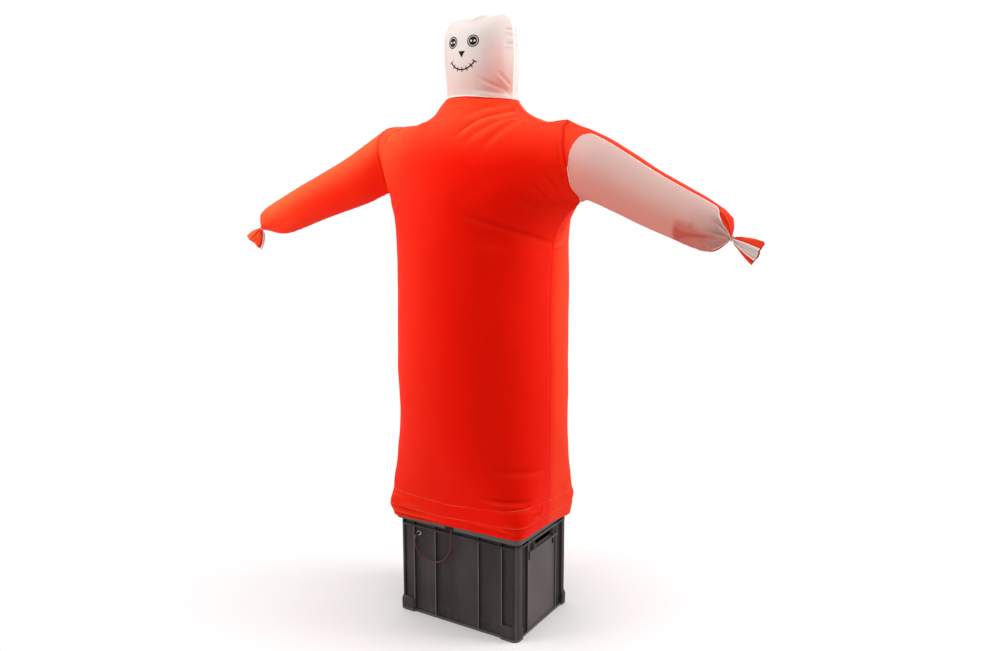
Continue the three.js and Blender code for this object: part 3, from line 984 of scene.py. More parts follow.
class SmoothTable:
    """Rows of numbers along a run, read smoothly between them."""

    def __init__(self, run: Array, rows: Array) -> None:
        """Keeps the rows and where each stands on the run."""
        self.run = np.asarray(run, float)
        self.rows = np.asarray(rows, float)

    def at(self, place: float) -> Array:
        """Reads one row.

        Args:
            place: A row's number, or a number between two rows.

        Returns:
            The row's values.
        """
        run, rows = self.run, self.rows
        first = min(int(place), len(rows) - 2)
        p = place - first
        half = 0.5 * (run[first + 1] - run[first])
        before, w_before = rows[first + 1], -0.5
        if first > 0:
            before, w_before = rows[first - 1], half / (run[first] - run[first - 1])
        after, w_after = rows[first], -0.5
        if first + 2 < len(rows):
            after, w_after = rows[first + 2], half / (run[first + 2] - run[first + 1])
        s_before = w_before * (-(p**3) + 2 * p**2 - p)
        s_here = (1 + w_before) * p**3 - (1.5 + 2 * w_before) * p**2 + (w_before - 0.5) * p + 1
        s_next = -(1 + w_after) * p**3 + (1.5 + w_after) * p**2 + 0.5 * p
        s_after = w_after * (p**3 - p**2)
        return s_before * before + s_here * rows[first] + s_next * rows[first + 1] + s_after * after

    def at_run(self, where: float) -> Array:
        """Reads the row at a distance along the run.

        Args:
            where: The distance.

        Returns:
            The row's values.
        """
        first = int(np.clip(np.searchsorted(self.run, where) - 1, 0, len(self.run) - 2))
        part = (where - self.run[first]) / (self.run[first + 1] - self.run[first])
        return self.at(first + part)


@dataclass(frozen=True)
class Crease:
    """A crease in cloth: a soft trough along a bent line, with a ridge on its left."""

    start: tuple[float, float]
    bend: tuple[float, float]
    end: tuple[float, float]
    width: float
    depth: float
    ridge: float = 0.45
    fade_start: float = 0.3
    fade_end: float = 0.3

    STEPS = 41
    REACH = 4.0
    RIDGE_AT = 1.7
    RIDGE_WIDTH = 1.1

    def lift(self, across: Array, up: Array) -> Array:
        """How far the cloth moves outwards.

        Args:
            across: Places across the cloth.
            up: Places up the cloth.

        Returns:
            The lift at each place, negative in the trough.
        """
        t = np.linspace(0.0, 1.0, self.STEPS)[:, None]
        start, bend, end = (np.array(p, float) for p in (self.start, self.bend, self.end))
        line = (1 - t) ** 2 * start + 2 * t * (1 - t) * bend + t**2 * end
        tangent = unit(np.gradient(line, axis=0))
        lift = np.zeros(across.shape)
        margin = self.REACH * self.width
        low, high = line.min(0) - margin, line.max(0) + margin
        near = (across > low[0]) & (across < high[0]) & (up > low[1]) & (up < high[1])
        if not near.any():
            return lift
        gap = np.stack([across[near], up[near]], -1)[:, None, :] - line[None]
        far = np.linalg.norm(gap, axis=-1)
        closest = far.argmin(1)
        pick = np.arange(len(closest))
        turn = tangent[closest]
        own = gap[pick, closest]
        away = np.sign(turn[:, 0] * own[:, 1] - turn[:, 1] * own[:, 0]) * far[pick, closest]
        away /= self.width
        run = t[closest, 0]
        strength = smoothstep(run, 0.0, max(self.fade_start, 1e-6))
        strength = strength * smoothstep(1.0 - run, 0.0, max(self.fade_end, 1e-6))
        profile = self.ridge * bell(away, self.RIDGE_AT, self.RIDGE_WIDTH) - bell(away, 0.0, 1.0)
        lift[near] = self.depth * profile * strength
        return lift


def creases(rows: Iterable[Sequence[float]]) -> list[Crease]:
    """Reads creases from rows of start, bend, end, width, depth, ridge and the two fades."""
    return [Crease((r[0], r[1]), (r[2], r[3]), (r[4], r[5]), *r[6:]) for r in rows]


@dataclass(frozen=True)
class Ramp:
    """A share that eases from 0 at its start to its size at its end, whichever lies higher."""

    size: float
    start: float
    end: float

    def at(self, value: Any) -> Any:
        """The share at each place."""
        return self.size * smoothstep(value, self.start, self.end)


@dataclass(frozen=True)
class Spot:
    """A soft round place on the cloth, with how far it stands out or moves."""

    size: float
    across: float
    across_width: float
    up: float
    up_width: float

    def at(self, across: Array, up: Array) -> Array:
        """How far each place stands out or moves."""
        beside = bell(across, self.across, self.across_width)
        return self.size * beside * bell(up, self.up, self.up_width)


@dataclass(frozen=True)
class EdgeShift:
    """A soft shift of the cloth near its right edge (side 1) or its left edge (side -1)."""

    size: float
    height: float
    width: float
    start: float
    end: float
    side: int

    def at(self, x: Array, z: Array) -> Array:
        """How far each place shifts."""
        near = smoothstep(self.side * x, self.start, self.end)
        return self.size * bell(z, self.height, self.width) * near


@dataclass
class ClothSheet:
    """One cut panel of cloth as rows of points, its right side out."""

    name: str
    node: str
    slot: Slot
    points: Array
    marks: dict[str, Array] = field(default_factory=dict)
    thickness: float = 1.6
    rests_on: tuple[str, ...] = ("crate_moulding",)

    FULL_FOLD = 6.0
    FULL_RIDGE = 3.0
    PUCKER_RUNS = (3.1, 23.0, 41.0)
    SWELL_OUT, SWELL_WIDTH = 0.9, 6.0
    PUCKER_OUT, PUCKER_WIDTH = 0.5, 8.0
    LONG_WAVE = 260.0
    SHORT_WAVE = 70.0
    WAVES = 7
    CALM_EDGE = 25.0

    def across(self) -> Array:
        """Distance along each row from its first point, in millimetres."""
        steps = np.linalg.norm(np.diff(self.points, axis=1), axis=-1)
        return np.pad(np.cumsum(steps, axis=1), ((0, 0), (1, 0)))

    def along(self) -> Array:
        """Distance up each column from its first point, in millimetres."""
        steps = np.linalg.norm(np.diff(self.points, axis=0), axis=-1)
        return np.pad(np.cumsum(steps, axis=0), ((1, 0), (0, 0)))

    def from_middle(self) -> Array:
        """Distance along each row from its middle point, in millimetres.

        Returns:
            The distance at each point, below zero on the left.
        """
        across = self.across()
        middle = across.shape[1] // 2
        return across - across[:, middle : middle + 1]

    def from_sides(self) -> Array:
        """Distance to the nearer side seam, in millimetres."""
        across = self.across()
        return np.minimum(across, across[:, -1:] - across)

    def from_ends(self) -> Array:
        """Distance to the nearer end, in millimetres."""
        along = self.along()
        return np.minimum(along, along[-1:] - along)

    def push(self, lift: Array) -> None:
        """Moves the cloth outwards, square to itself.

        Args:
            lift: How far each point moves, in millimetres.
        """
        right = np.gradient(self.points, axis=1)
        up = np.gradient(self.points, axis=0)
        self.points = self.points + unit(np.cross(right, up)) * lift[..., None]

    def crease(self, lines: Iterable[Crease], across: Array, seam_width: float) -> Array:
        """Presses creases into the cloth and marks how deep they are, for painted shade in their
        troughs.

        Args:
            lines: The creases.
            across: Each point's place across the cloth.
            seam_width: How far from a side seam they reach their full depth.

        Returns:
            How far their ridges stand out, from 0 to 1.
        """
        lift = sum(line.lift(across, self.points[..., 2]) for line in lines)
        lift = lift * (1.0 - bell(self.from_sides(), 0.0, seam_width))
        self.marks["fold"] = np.clip(-lift / self.FULL_FOLD, 0.0, 1.0)
        self.push(lift)
        return np.clip(lift / self.FULL_RIDGE, 0.0, 1.0)

    def pucker(self, gap: Array, run: Array, seed: int, depth: float = 1.0) -> None:
        """Swells the cloth beside a seam, with small puckers along it.

        Args:
            gap: Distance from the seam.
            run: Distance along the seam.
            seed: Which puckers.
            depth: How strong they are.
        """
        phase = np.random.default_rng(seed).uniform(0.0, FULL_TURN, 3)
        short, long, longest = self.PUCKER_RUNS
        waves = np.sin(run / short + phase[0] + 1.4 * np.sin(run / long + phase[1]))
        waves = waves * (0.6 + 0.4 * np.sin(run / longest + phase[2]))
        swell = self.SWELL_OUT * puff(gap, self.SWELL_WIDTH)
        self.push(depth * (swell + self.PUCKER_OUT * waves * puff(gap, self.PUCKER_WIDTH)))

    def swell(self, seed: int, size: float) -> None:
        """Makes the blown-up cloth a little uneven, away from its edges.

        Args:
            seed: Which unevenness.
            size: How strong it is, in millimetres.
        """
        dice = np.random.default_rng(seed)
        across, along = self.across(), self.along()
        lift = np.zeros(across.shape)
        for wave in np.geomspace(self.LONG_WAVE, self.SHORT_WAVE, self.WAVES):
            turn, phase = dice.uniform(0.0, FULL_TURN, 2)
            run = math.cos(turn) * across + math.sin(turn) * along
            lift += np.sin(run * FULL_TURN / wave + phase) * wave / self.LONG_WAVE
        edge = np.minimum(self.from_sides(), self.from_ends())
        self.push(lift * size * (1.0 - bell(edge, 0.0, self.CALM_EDGE)))

    def build(self, finish: bpy.types.Material) -> bpy.types.Object:
        """Args:
            finish: The cloth's material.

        Returns:
            The object.
        """
        rows, columns = self.points.shape[:2]
        cut = np.stack([self.from_middle(), self.along()], -1) * MM
        bm = bmesh.new()
        bmesh.ops.create_grid(bm, x_segments=columns - 1, y_segments=rows - 1, size=0.5)
        layers = {mark: bm.verts.layers.float.new(mark) for mark in self.marks}
        places = {}
        for vert in bm.verts:
            column = round((vert.co.x + 0.5) * (columns - 1))
            row = round((vert.co.y + 0.5) * (rows - 1))
            places[vert] = (row, column)
            for mark, layer in layers.items():
                vert[layer] = float(self.marks[mark][row, column])
            vert.co = Vector(self.points[row, column]) * MM
        flat = bm.loops.layers.uv.new("cut")
        for face in bm.faces:
            for loop in face.loops:
                loop[flat].uv = cut[places[loop.vert]]
        for edge in bm.edges:
            edge.smooth = not edge.is_boundary
        piece = object_of(self.name, bm)
        cloth = piece.modifiers.new("cloth", "SOLIDIFY")
        cloth.thickness = self.thickness * MM
        cloth.offset = -1.0
        fit_piece(piece, finish, self.slot, self.node)
        self.declare()
        return piece

    def declare(self) -> None:
        """Works out how wide a cloth the panel was cut from, and does nothing with it.
        """
        width = float(self.across()[:, -1].max()) * MM


class TubeTable:
    """Sections of a blown-up tube of cloth, from which both its panels are read."""

    TUBE_X, EDGE_X, FRONT_EDGE_Y, BACK_EDGE_Y, EDGE_Z, FRONT_Y, BACK_Y, MID_Z, SQUARE = range(9)
    FLARE_WIDTH = 68.0
    FINE_POINTS = 601

    def __init__(self, rows: Sequence[Sequence[float]]) -> None:
        """Keeps the sections and how far apart they stand.

        Args:
            rows: The sections, from low to high.
        """
        table = np.array(rows, float)
        step = np.diff(table, axis=0)
        at_edge = np.linalg.norm(step[:, [self.EDGE_X, self.FRONT_EDGE_Y, self.EDGE_Z]], axis=1)
        at_middle = np.linalg.norm(step[:, [self.FRONT_Y, self.MID_Z]], axis=1)
        run = np.concatenate([[0.0], np.cumsum((at_edge + at_middle) / 2.0)])
        self.table = SmoothTable(run, table)

    def places(self, spacing: float, fine_rows: Mapping[int, float] | None = None) -> Array:
        """Places of the cloth's rows.

        Args:
            spacing: About how far apart the rows are, in millimetres.
            fine_rows: Other spacings between a section and the next.

        Returns:
            Places on the table, from its first section to its last.
        """
        found = []
        for i, length in enumerate(np.diff(self.table.run)):
            steps = max(2, round(length / (fine_rows or {}).get(i, spacing)))
            found.extend(i + np.arange(steps) / steps)
        return np.array([*found, len(self.table.rows) - 1.0])

    def section(self, place: float) -> Array:
        """One section, with a single seam where the panels meet.

        Args:
            place: Its place on the table.

        Returns:
            The section's values.
        """
        values = self.table.at(place).copy()
        rows = self.table.rows
        nearest = rows[[int(place), min(math.ceil(place), len(rows) - 1)]]
        edges = [self.FRONT_EDGE_Y, self.BACK_EDGE_Y]
        if np.all(nearest[:, self.FRONT_EDGE_Y] == nearest[:, self.BACK_EDGE_Y]):
            values[edges] = values[edges].mean()
        return values

    def arch(self, place: float, side: Side, columns: int) -> Array:
        """One row of a panel.

        Args:
            place: Where on the table.
            side: Which panel.
            columns: How many points, less one.

        Returns:
            Evenly spaced points from the panel's one edge to the other.
        """
        values = self.section(place)
        edge_y, apex_y = values[[self.FRONT_EDGE_Y, self.FRONT_Y]]
        if side is Side.BACK:
            edge_y, apex_y = values[[self.BACK_EDGE_Y, self.BACK_Y]]
        power = 2.0 / values[self.SQUARE]
        ratio = float(np.clip(signed_power(edge_y / apex_y, 1.0 / power), -1.0, 1.0))
        reach = math.acos(ratio)
        flare = values[self.EDGE_X] - values[self.TUBE_X] * math.sin(reach) ** power
        size = (values[self.TUBE_X] + abs(apex_y)) / 2.0
        turn = np.linspace(-reach, reach, self.FINE_POINTS)
        fade = np.exp(-(reach - np.abs(turn)) * size / self.FLARE_WIDTH)
        x = values[self.TUBE_X] * signed_power(np.sin(turn), power)
        x = -np.sign(apex_y) * (x + flare * fade * np.sin(turn) / math.sin(reach))
        y = apex_y * signed_power(np.cos(turn), power)
        climb = smoothstep(np.abs(turn) / reach, 0.0, 1.0)
        z = values[self.MID_Z] + (values[self.EDGE_Z] - values[self.MID_Z]) * climb
        line = np.stack([x, y, z], -1)
        run = run_along(line)
        even = np.linspace(0.0, run[-1], columns + 1)
        return np.stack([np.interp(even, run, line[:, k]) for k in range(3)], -1)

    def panel(self, side: Side, places: Array, columns: int) -> Array:
        """All rows of one panel."""
        return np.stack([self.arch(place, side, columns) for place in places])


# Places round an armhole or a sleeve: 0 underneath, 4 in front, 8 on top, 12 behind.
PLACES_ROUND = 16.0
TOP_PLACE = 8.0
# The neck seam sits lower on its right.
COLLAR_DROP = 4.5
COLLAR_SIDE = (0.0, 70.0)


@dataclass
class BodyTube:
    """The red body: a front and a back panel, from the hem over the crate up to the neck."""

    columns: int = 150
    back_columns: int = 110
    spacing: float = 4.6
    hem_spacing: float = 2.8
    underarm_spacing: float = 3.2
    underarm_row: float = 9.0
    shoulder_row: float = 13.0
    hem_top: float = 460.0
    hem_reach: float = 150.0
    hem_radius: float = 210.0
    hem_askew: float = 7.0
    hem_high_point: float = math.radians(-37.0)
    hem_drop: float = 17.0
    hem_low_point: float = math.radians(40.0)
    hem_low_width: float = 0.42
    hem_tuck: float = 7.0
    pull_in: float = 50.0
    pull_up: float = 30.0
    shoulder_height: float = 1338.0
    shoulder_width: float = 20.0
    fold_fade: float = 3.0 / 28.0
    tuck_gap: float = 11.0
    tuck_width: float = 4.5
    tuck_depth: float = 3.2
    pleat_depth: float = 1.7
    tip_turn: float = 31.0
    tip_width: float = 7.0
    tip_out: float = 3.5
    tip_up: float = 4.5
    row_width: float = 3.5
    casing_height: float = 333.0
    casing_width: float = 12.0
    casing_out: float = 1.6
    gather_width: float = 16.0
    gather_depth: float = 0.35
    crease_margin: float = 4.0
    unevenness: float = 0.55
    chest_middle: float = 130.0
    back_lit: float = 0.1
    ridge_lit: float = 0.3

    SECTIONS = TubeTable(
        [
            (208, 208, -24, -24, 281, -158, 158, 281, 14),
            (213, 213, -24, -24, 306, -165, 165, 306, 10),
            (217, 216.4, -24, -24, 352, -174, 174, 352, 5.7),
            (221.5, 220, -26, -26, 404, -187, 187, 404, 3.55),
            (227, 224.6, -34, -34, 490, -205, 205, 490, 2.5),
            (230, 226.8, -38, -38, 700, -229, 229, 700, 2.05),
            (230, 227, -37, -37, 990, -230, 228, 990, 2),
            (230, 232, -33, -33, 1050, -229, 224, 1052, 2),
            (231, 260, -38, -38, 1098, -226, 218, 1106, 2),
            (232, 310, -48, -48, 1140, -221, 208, 1152, 2),
            (232, 306, -96, 6, 1178, -214, 196, 1192, 2),
            (230, 300, -122, 26, 1240, -199, 176, 1250, 2),
            (222, 290, -98, 4, 1298, -175, 153, 1300, 2),
            (205, 275, -48, -48, 1335, -146, 130, 1334, 2),
            (165, 190, -36, -36, 1340, -122, 116, 1354, 2),
            (118, 126, -12, -12, 1366, -104, 101, 1378, 2),
            (92, 92, 0, 0, 1402, -91, 89, 1402, 2),
        ]
    )
    # Where each fold starts and ends (x, z), how wide it is and how deep.
    MAIN_FOLDS = (
        (40, 1120, 224, 1050, 30, 7),
        (60, 1086, 220, 1040, 26, 3),
        (88, 1392, -70, 1330, 24, 5),
        (96, 1378, 10, 1296, 26, 4),
        (20, 384, 190, 396, 26, 5),
        (60, 452, 222, 462, 28, 3),
    )
    FRONT_CREASES = creases(
        [
            (341, 1036, 200, 1066, 42, 1132, 6, 3.0, 0.2, 0.02, 0.35),
            (330, 1049, 318, 1055, 296, 1063, 4, 2.2, 0.4, 0.05, 0.6),
            (205, 1053, 143, 1064, 75, 1074, 9, 1.7, 0.2, 0.4, 0.5),
            (228, 1034, 155, 1046, 85, 1054, 9, 1.5, 0.2, 0.4, 0.5),
            (137, 1387, 60, 1384, 4, 1342, 8, 2.6, 0.8, 0.1, 0.4),
            (149, 1371, 51, 1357, 22, 1286, 8, 4.2, 0.8, 0.08, 0.3),
            (165, 1357, 100, 1334, 40, 1270, 8, 2.8, 0.8, 0.15, 0.4),
            (177, 1349, 142, 1322, 98, 1258, 8, 2.4, 0.8, 0.15, 0.4),
            (-154, 1322, -154, 1306, -150, 1288, 5, 1.8, 0.5, 0.2, 0.4),
            (-206, 1328, -238, 1322, -243, 1288, 5.5, 6.5, 0.7, 0.1, 0.3),
            (-325, 1036, -300, 1030, -260, 1030, 6, 2.0, 0.5, 0.1, 0.5),
            (262, 384, 180, 386, 92, 396, 6, 3.4, 0.6, 0.25, 0.35),
            (250, 369, 180, 368, 110, 375, 6, 2.0, 0.4, 0.3, 0.4),
            (305, 456, 205, 460, 125, 476, 6, 2.2, 0.5, 0.2, 0.5),
            (-200, 323, -140, 306, -58, 306, 7, 3.0, 0.5, 0.05, 0.5),
            (-198, 291, -110, 284, 10, 288, 5, 6.0, 0.6, 0.1, 0.6),
            (-196, 336, -165, 329, -128, 330, 6, 2.6, 0.5, 0.1, 0.6),
            (46, 303, 120, 303, 198, 304, 5, 2.2, 0.6, 0.3, 0.3),
            (160, 318, 195, 311, 234, 314, 5, 1.8, 0.5, 0.2, 0.3),
            (304, 354, 300, 341, 288, 328, 5, 2.4, 0.6, 0.1, 0.4),
            (288, 338, 266, 342, 240, 342, 5, 2.2, 0.6, 0.1, 0.5),
            (292, 1142, 262, 1170, 236, 1192, 5, 1.3, 0.3, 0.3, 0.5),
            (284, 1121, 242, 1138, 200, 1162, 6, 1.2, 0.3, 0.3, 0.5),
            (318, 1158, 290, 1188, 255, 1224, 5, 1.3, 0.3, 0.3, 0.5),
            (145, 301, 182, 299, 214, 302, 4, 2.4, 0.7, 0.3, 0.3),
            (165, 294, 190, 292, 212, 295, 3.5, 2.0, 0.7, 0.3, 0.3),
            (283, 356, 240, 368, 212, 380, 6, 2.4, 0.5, 0.3, 0.4),
        ]
    )
    BACK_CREASES = creases(
        [
            (2, 1018, 45, 1022, 94, 1040, 5, 2.6, 0.8, 0.03, 0.5),
            (8, 1068, 70, 1060, 150, 1085, 9, 2.4, 0.5, 0.05, 0.5),
            (722, 1034, 660, 1044, 585, 1078, 9, 2.2, 0.5, 0.05, 0.5),
            (300, 1380, 250, 1350, 230, 1300, 9, 2.6, 0.5, 0.1, 0.5),
            (150, 384, 220, 376, 300, 386, 9, 2.0, 0.6, 0.35, 0.3),
            (430, 372, 520, 366, 600, 380, 9, 1.8, 0.6, 0.3, 0.3),
        ]
    )
    # Angles round the hem in degrees, and the height of the stitching there.
    UPPER_ROW = (
        (-180, 352), (-138, 358), (-119, 355), (-88, 351), (-60, 358), (-46, 363), (-36, 366),
        (-24, 365), (-8, 357), (12, 352), (28, 348), (60, 351), (120, 352), (180, 352),
    )
    LOWER_ROW = (
        (-180, 314), (-135, 317), (-104, 309), (-74, 315), (-61, 317), (-46, 320), (-38, 321),
        (-30, 320), (-10, 312), (18, 311), (90, 312), (180, 314),
    )
    # Places across the shoulders, and how far the cloth sinks there.
    SHOULDER_LINE = (
        (-300, -5), (-276, 0), (-256, -3), (-235, -2), (-205, -2.5), (-165, -4), (-138, -5),
        (-112, 0), (150, 0), (195, -5), (235, -6.5), (262, -2), (275, 1), (300, 0),
    )
    LEFT_PULL = EdgeShift(1.0, 1195, 100, 200, 300, -1)
    EDGE_SHIFTS = (
        EdgeShift(8.0, 1225, 38, 200, 285, 1),
        EdgeShift(-8.0, 1317, 12, 200, 285, 1),
        EdgeShift(9.0, 1275, 40, 200, 285, -1),
        EdgeShift(-5.0, 385, 60, 120, 215, -1),
    )
    NECK_HOLLOW = Spot(-6.0, -118, 14, 1368, 16)
    FULL_NECK = Spot(7.0, -114, 34, 1384, 20)
    FULL_CORNERS = (
        Spot(8.0, -142, 17, 313, 18),
        Spot(2.0, -37, 17, 330, 18),
        Spot(2.0, 37, 17, 330, 18),
        Spot(4.0, 142, 17, 330, 18),
    )
    FULL_UNDERARM = Spot(9.5, 40, 28, 1094, 42)
    BEHIND_SEAM, RIGHT_HALF = Ramp(1.0, -45.0, -15.0), Ramp(1.0, 0.0, 60.0)
    COLLAR_TIP = Ramp(1.0, 1388.0, 1402.0)
    TUCKED_ARMHOLE = (1150.0, 1190.0, 1310.0, 1340.0)
    PLEATED_ARMHOLE = (1120.0, 1150.0, 1215.0, 1265.0)
    SEAM_SEEDS = {Side.FRONT: 3, Side.BACK: 4}
    NECK_SEEDS = {Side.FRONT: 13, Side.BACK: 14}
    SWELL_SEEDS = {Side.FRONT: 11, Side.BACK: 12}
    HEM_TUCKED = Ramp(1.0, 335.0, 255.0)
    COLLAR_LOW = Ramp(COLLAR_DROP, 1380.0, 1402.0)
    SEAM_FAINT = Ramp(1.6, 1160.0, 1120.0)
    LOW_SHADE = Ramp(0.42, 950.0, 330.0)
    COLLAR_SHADE = Ramp(0.6, -60.0, 60.0)
    ARMHOLE_SHADE = Ramp(0.5, 0.0, 60.0)
    ABOVE_UNDERARM = Ramp(1.0, 1135.0, 1165.0)
    # Shares of painted light on the body's cloth.
    NECK_LIT = Ramp(0.36, 1220.0, 1380.0)
    BACK_LIT = Ramp(0.22, 0.0, 45.0)
    SIDES_LIT = Ramp(0.12, 60.0, 330.0)
    LEFT_LIT = Ramp(0.24, 90.0, 240.0)
    LEFT_LIT_HEIGHT = Ramp(1.0, 1110.0, 1270.0)

    def __post_init__(self) -> None:
        """Works out where the cloth's rows stand."""
        fine = {0: self.hem_spacing, 1: self.hem_spacing, 2: self.hem_spacing}
        self.places = self.SECTIONS.places(self.spacing, {**fine, 7: self.underarm_spacing})
        self.shaped = {
            Side.FRONT: self.shape(Side.FRONT, self.columns),
            Side.BACK: self.shape(Side.BACK, self.back_columns),
        }

    def hang_hem(self, points: Array) -> None:
        """Sets the hem askew, and lower and drawn in at the crate's far right corner.

        Args:
            points: The panel's points, which are moved.
        """
        x, y, z = np.moveaxis(points, -1, 0)
        turn = around(points)
        fade = np.clip((self.hem_top - z) / self.hem_reach, 0.0, 1.0)
        corner = bell(turn, self.hem_low_point, self.hem_low_width)
        z += self.hem_askew * fade * np.cos(turn - self.hem_high_point)
        z -= self.hem_drop * fade * corner
        tuck = self.hem_tuck * corner * self.HEM_TUCKED.at(z)
        x -= tuck * math.cos(self.hem_low_point)
        y -= tuck * math.sin(self.hem_low_point)

    def shape(self, side: Side, columns: int) -> Array:
        """The panel's main shape, with its askew hem, uneven armholes and sunk shoulder line.

        Args:
            side: Which panel.
            columns: How many points a row has.

        Returns:
            The panel's points.
        """
        points = self.SECTIONS.panel(side, self.places, columns)
        self.hang_hem(points)
        x, _, z = np.moveaxis(points, -1, 0)
        pull = self.LEFT_PULL.at(x, z)
        x += self.pull_in * pull
        z += self.pull_up * pull
        sideways = sum(shift.at(x, z) for shift in self.EDGE_SHIFTS)
        sunk = np.interp(x, *np.array(self.SHOULDER_LINE).T)
        sunk = sunk * bell(z, self.shoulder_height, self.shoulder_width)
        collar = self.COLLAR_LOW.at(z) * smoothstep(x, *COLLAR_SIDE)
        upwards = sunk + self.NECK_HOLLOW.at(x, z) - collar
        x += sideways
        z += upwards
        return points

    def armhole(self, arm_side: int, places: Array) -> Array:
        """The armhole's edge.

        Args:
            arm_side: 1 for the right arm, -1 for the left.
            places: Places round the armhole.

        Returns:
            Points on the edge.
        """
        turn = np.mod(places, PLACES_ROUND)
        in_front = turn <= TOP_PLACE
        up_front = self.underarm_row + turn / 2.0
        down_back = self.shoulder_row - (turn - TOP_PLACE) / 2.0
        row = np.where(in_front, up_front, down_back)
        found = {}
        for side in Side:
            last = (arm_side > 0) == (side is Side.FRONT)
            edge = self.shaped[side][:, -1 if last else 0]
            found[side] = np.stack([np.interp(row, self.places, edge[:, k]) for k in range(3)], -1)
        return np.where(in_front[:, None], found[Side.FRONT], found[Side.BACK])

    def fold(self, points: Array) -> None:
        """Presses the main folds into the front.

        Args:
            points: The panel's points, which are moved.
        """
        x, z = points[..., 0].copy(), points[..., 2].copy()
        share = np.linspace(0.0, 1.0, points.shape[1])
        fade = smoothstep(np.minimum(share, 1.0 - share), 0.0, self.fold_fade)[None, :]
        for from_x, from_z, to_x, to_z, width, depth in self.MAIN_FOLDS:
            run_x, run_z = to_x - from_x, to_z - from_z
            along = ((x - from_x) * run_x + (z - from_z) * run_z) / (run_x**2 + run_z**2)
            along = np.clip(along, 0.0, 1.0)
            away = np.hypot(x - from_x - along * run_x, z - from_z - along * run_z) / width
            points[..., 1] += depth * bell(away, 0.0, 1.0) * (1.0 - (1.0 - along) ** 3) * fade

    def row_distance(self, points: Array, row: Sequence[tuple[float, float]]) -> Array:
        """Height above a row of stitching, in millimetres.

        Args:
            points: The panel's points.
            row: The row's angles and heights.

        Returns:
            The height at each point.
        """
        table = np.array(row, float)
        at_row = np.interp(np.degrees(around(points)), table[:, 0], table[:, 1], period=360.0)
        return points[..., 2] - at_row

    def fill_out(self, sheet: ClothSheet) -> None:
        """Full places at the neck and over the crate's corners, and tucks along the armholes.

        Args:
            sheet: The panel, whose points are moved.
        """
        x, y, z = np.moveaxis(sheet.points, -1, 0)
        turn = np.degrees(around(sheet.points))
        gap = sheet.from_sides()
        lift = self.FULL_NECK.at(x, z) + sum(spot.at(turn, z) for spot in self.FULL_CORNERS)
        lift += self.FULL_UNDERARM.at(gap, z) * self.BEHIND_SEAM.at(y) * self.RIGHT_HALF.at(x)
        tuck = bell(gap, self.tuck_gap, self.tuck_width) * (0.7 + 0.3 * np.sin(z / 9.0))
        lift -= self.tuck_depth * between(z, *self.TUCKED_ARMHOLE) * tuck
        pleats = 0.5 + 0.5 * np.sin((z + 0.35 * gap) / 2.9 + 1.2 * np.sin(z / 17.0))
        lift -= self.pleat_depth * between(z, *self.PLEATED_ARMHOLE) * pleats**2 * puff(gap, 9.0)
        tip = bell(turn, self.tip_turn, self.tip_width) * self.COLLAR_TIP.at(z)
        sheet.push(lift + self.tip_out * tip)
        sheet.points[..., 2] += self.tip_up * tip

    def sew(self, sheet: ClothSheet, side: Side, ridges: Array) -> None:
        """Adds puckered seams, the rows of stitching and what the finish reads.

        Args:
            sheet: The panel.
            side: Which panel it is.
            ridges: How far its ridges stand out, from 0 to 1.
        """
        height, along = sheet.points[..., 2], sheet.along()
        from_neck = along[-1:] - along
        upper = self.row_distance(sheet.points, self.UPPER_ROW)
        lower = self.row_distance(sheet.points, self.LOWER_ROW)
        groove = bell(upper, 0.0, self.row_width) + bell(lower, 0.0, self.row_width)
        run = around(sheet.points) * self.hem_radius
        gather = np.sin(run / 5.5 + 1.3 * np.sin(run / 31.0)) * bell(upper, 0.0, self.gather_width)
        casing = bell(height, self.casing_height, self.casing_width)
        sheet.push(self.casing_out * casing + self.gather_depth * gather - groove)
        sheet.pucker(sheet.from_sides(), along, self.SEAM_SEEDS[side], 0.9)
        sheet.pucker(from_neck, sheet.across(), self.NECK_SEEDS[side], 0.8)
        from_sides = sheet.from_sides() + self.SEAM_FAINT.at(height)
        sheet.marks["seam"] = np.minimum(from_sides, from_neck) * MM
        # Painted shade in creases, low down, under the collar and at the right armhole.
        sheet.marks["fold"] = self.painted_shade(sheet, side, height, from_neck)
        sheet.marks["upper_row"] = upper * MM
        sheet.marks["lower_row"] = lower * MM
        # Painted light, with painted highlights on the creases' ridges.
        sheet.marks["glow"] = self.glow(sheet, side, height) + self.ridge_lit * ridges

    def painted_shade(self, sheet: ClothSheet, side: Side, height: Array, from_neck: Array) -> Array:
        """Painted shade: darker in the creases, more low down, under the collar and at the right
        armhole.

        Args:
            sheet: The panel, with its creases marked.
            side: Which panel it is.
            height: Each point's height.
            from_neck: Each point's distance below the neck seam.

        Returns:
            The share at each point.
        """
        fold = sheet.marks["fold"] + self.LOW_SHADE.at(height)
        if side is Side.BACK:
            return fold
        right = sheet.from_middle()
        collar = self.COLLAR_SHADE.at(right) * bell(from_neck, 3.0, 4.0)
        armhole = self.ARMHOLE_SHADE.at(right) * bell(sheet.from_sides(), 0.0, 7.0)
        return np.clip(fold + collar + armhole * self.ABOVE_UNDERARM.at(height), 0.0, 1.0)

    def glow(self, sheet: ClothSheet, side: Side, height: Array) -> Array:
        """Painted light: paler, more orange cloth near the neck, away from the chest's middle, on
        the left and on the back panel.

        Args:
            sheet: The panel.
            side: Which panel it is.
            height: Each point's height.

        Returns:
            The share at each point.
        """
        lit = self.NECK_LIT.at(height)
        if side is Side.BACK:
            return lit + self.back_lit + self.BACK_LIT.at(sheet.from_sides())
        right = sheet.from_middle()
        lit = lit + self.SIDES_LIT.at(np.abs(right - self.chest_middle))
        return lit + self.LEFT_LIT_HEIGHT.at(height) * self.LEFT_LIT.at(-right)

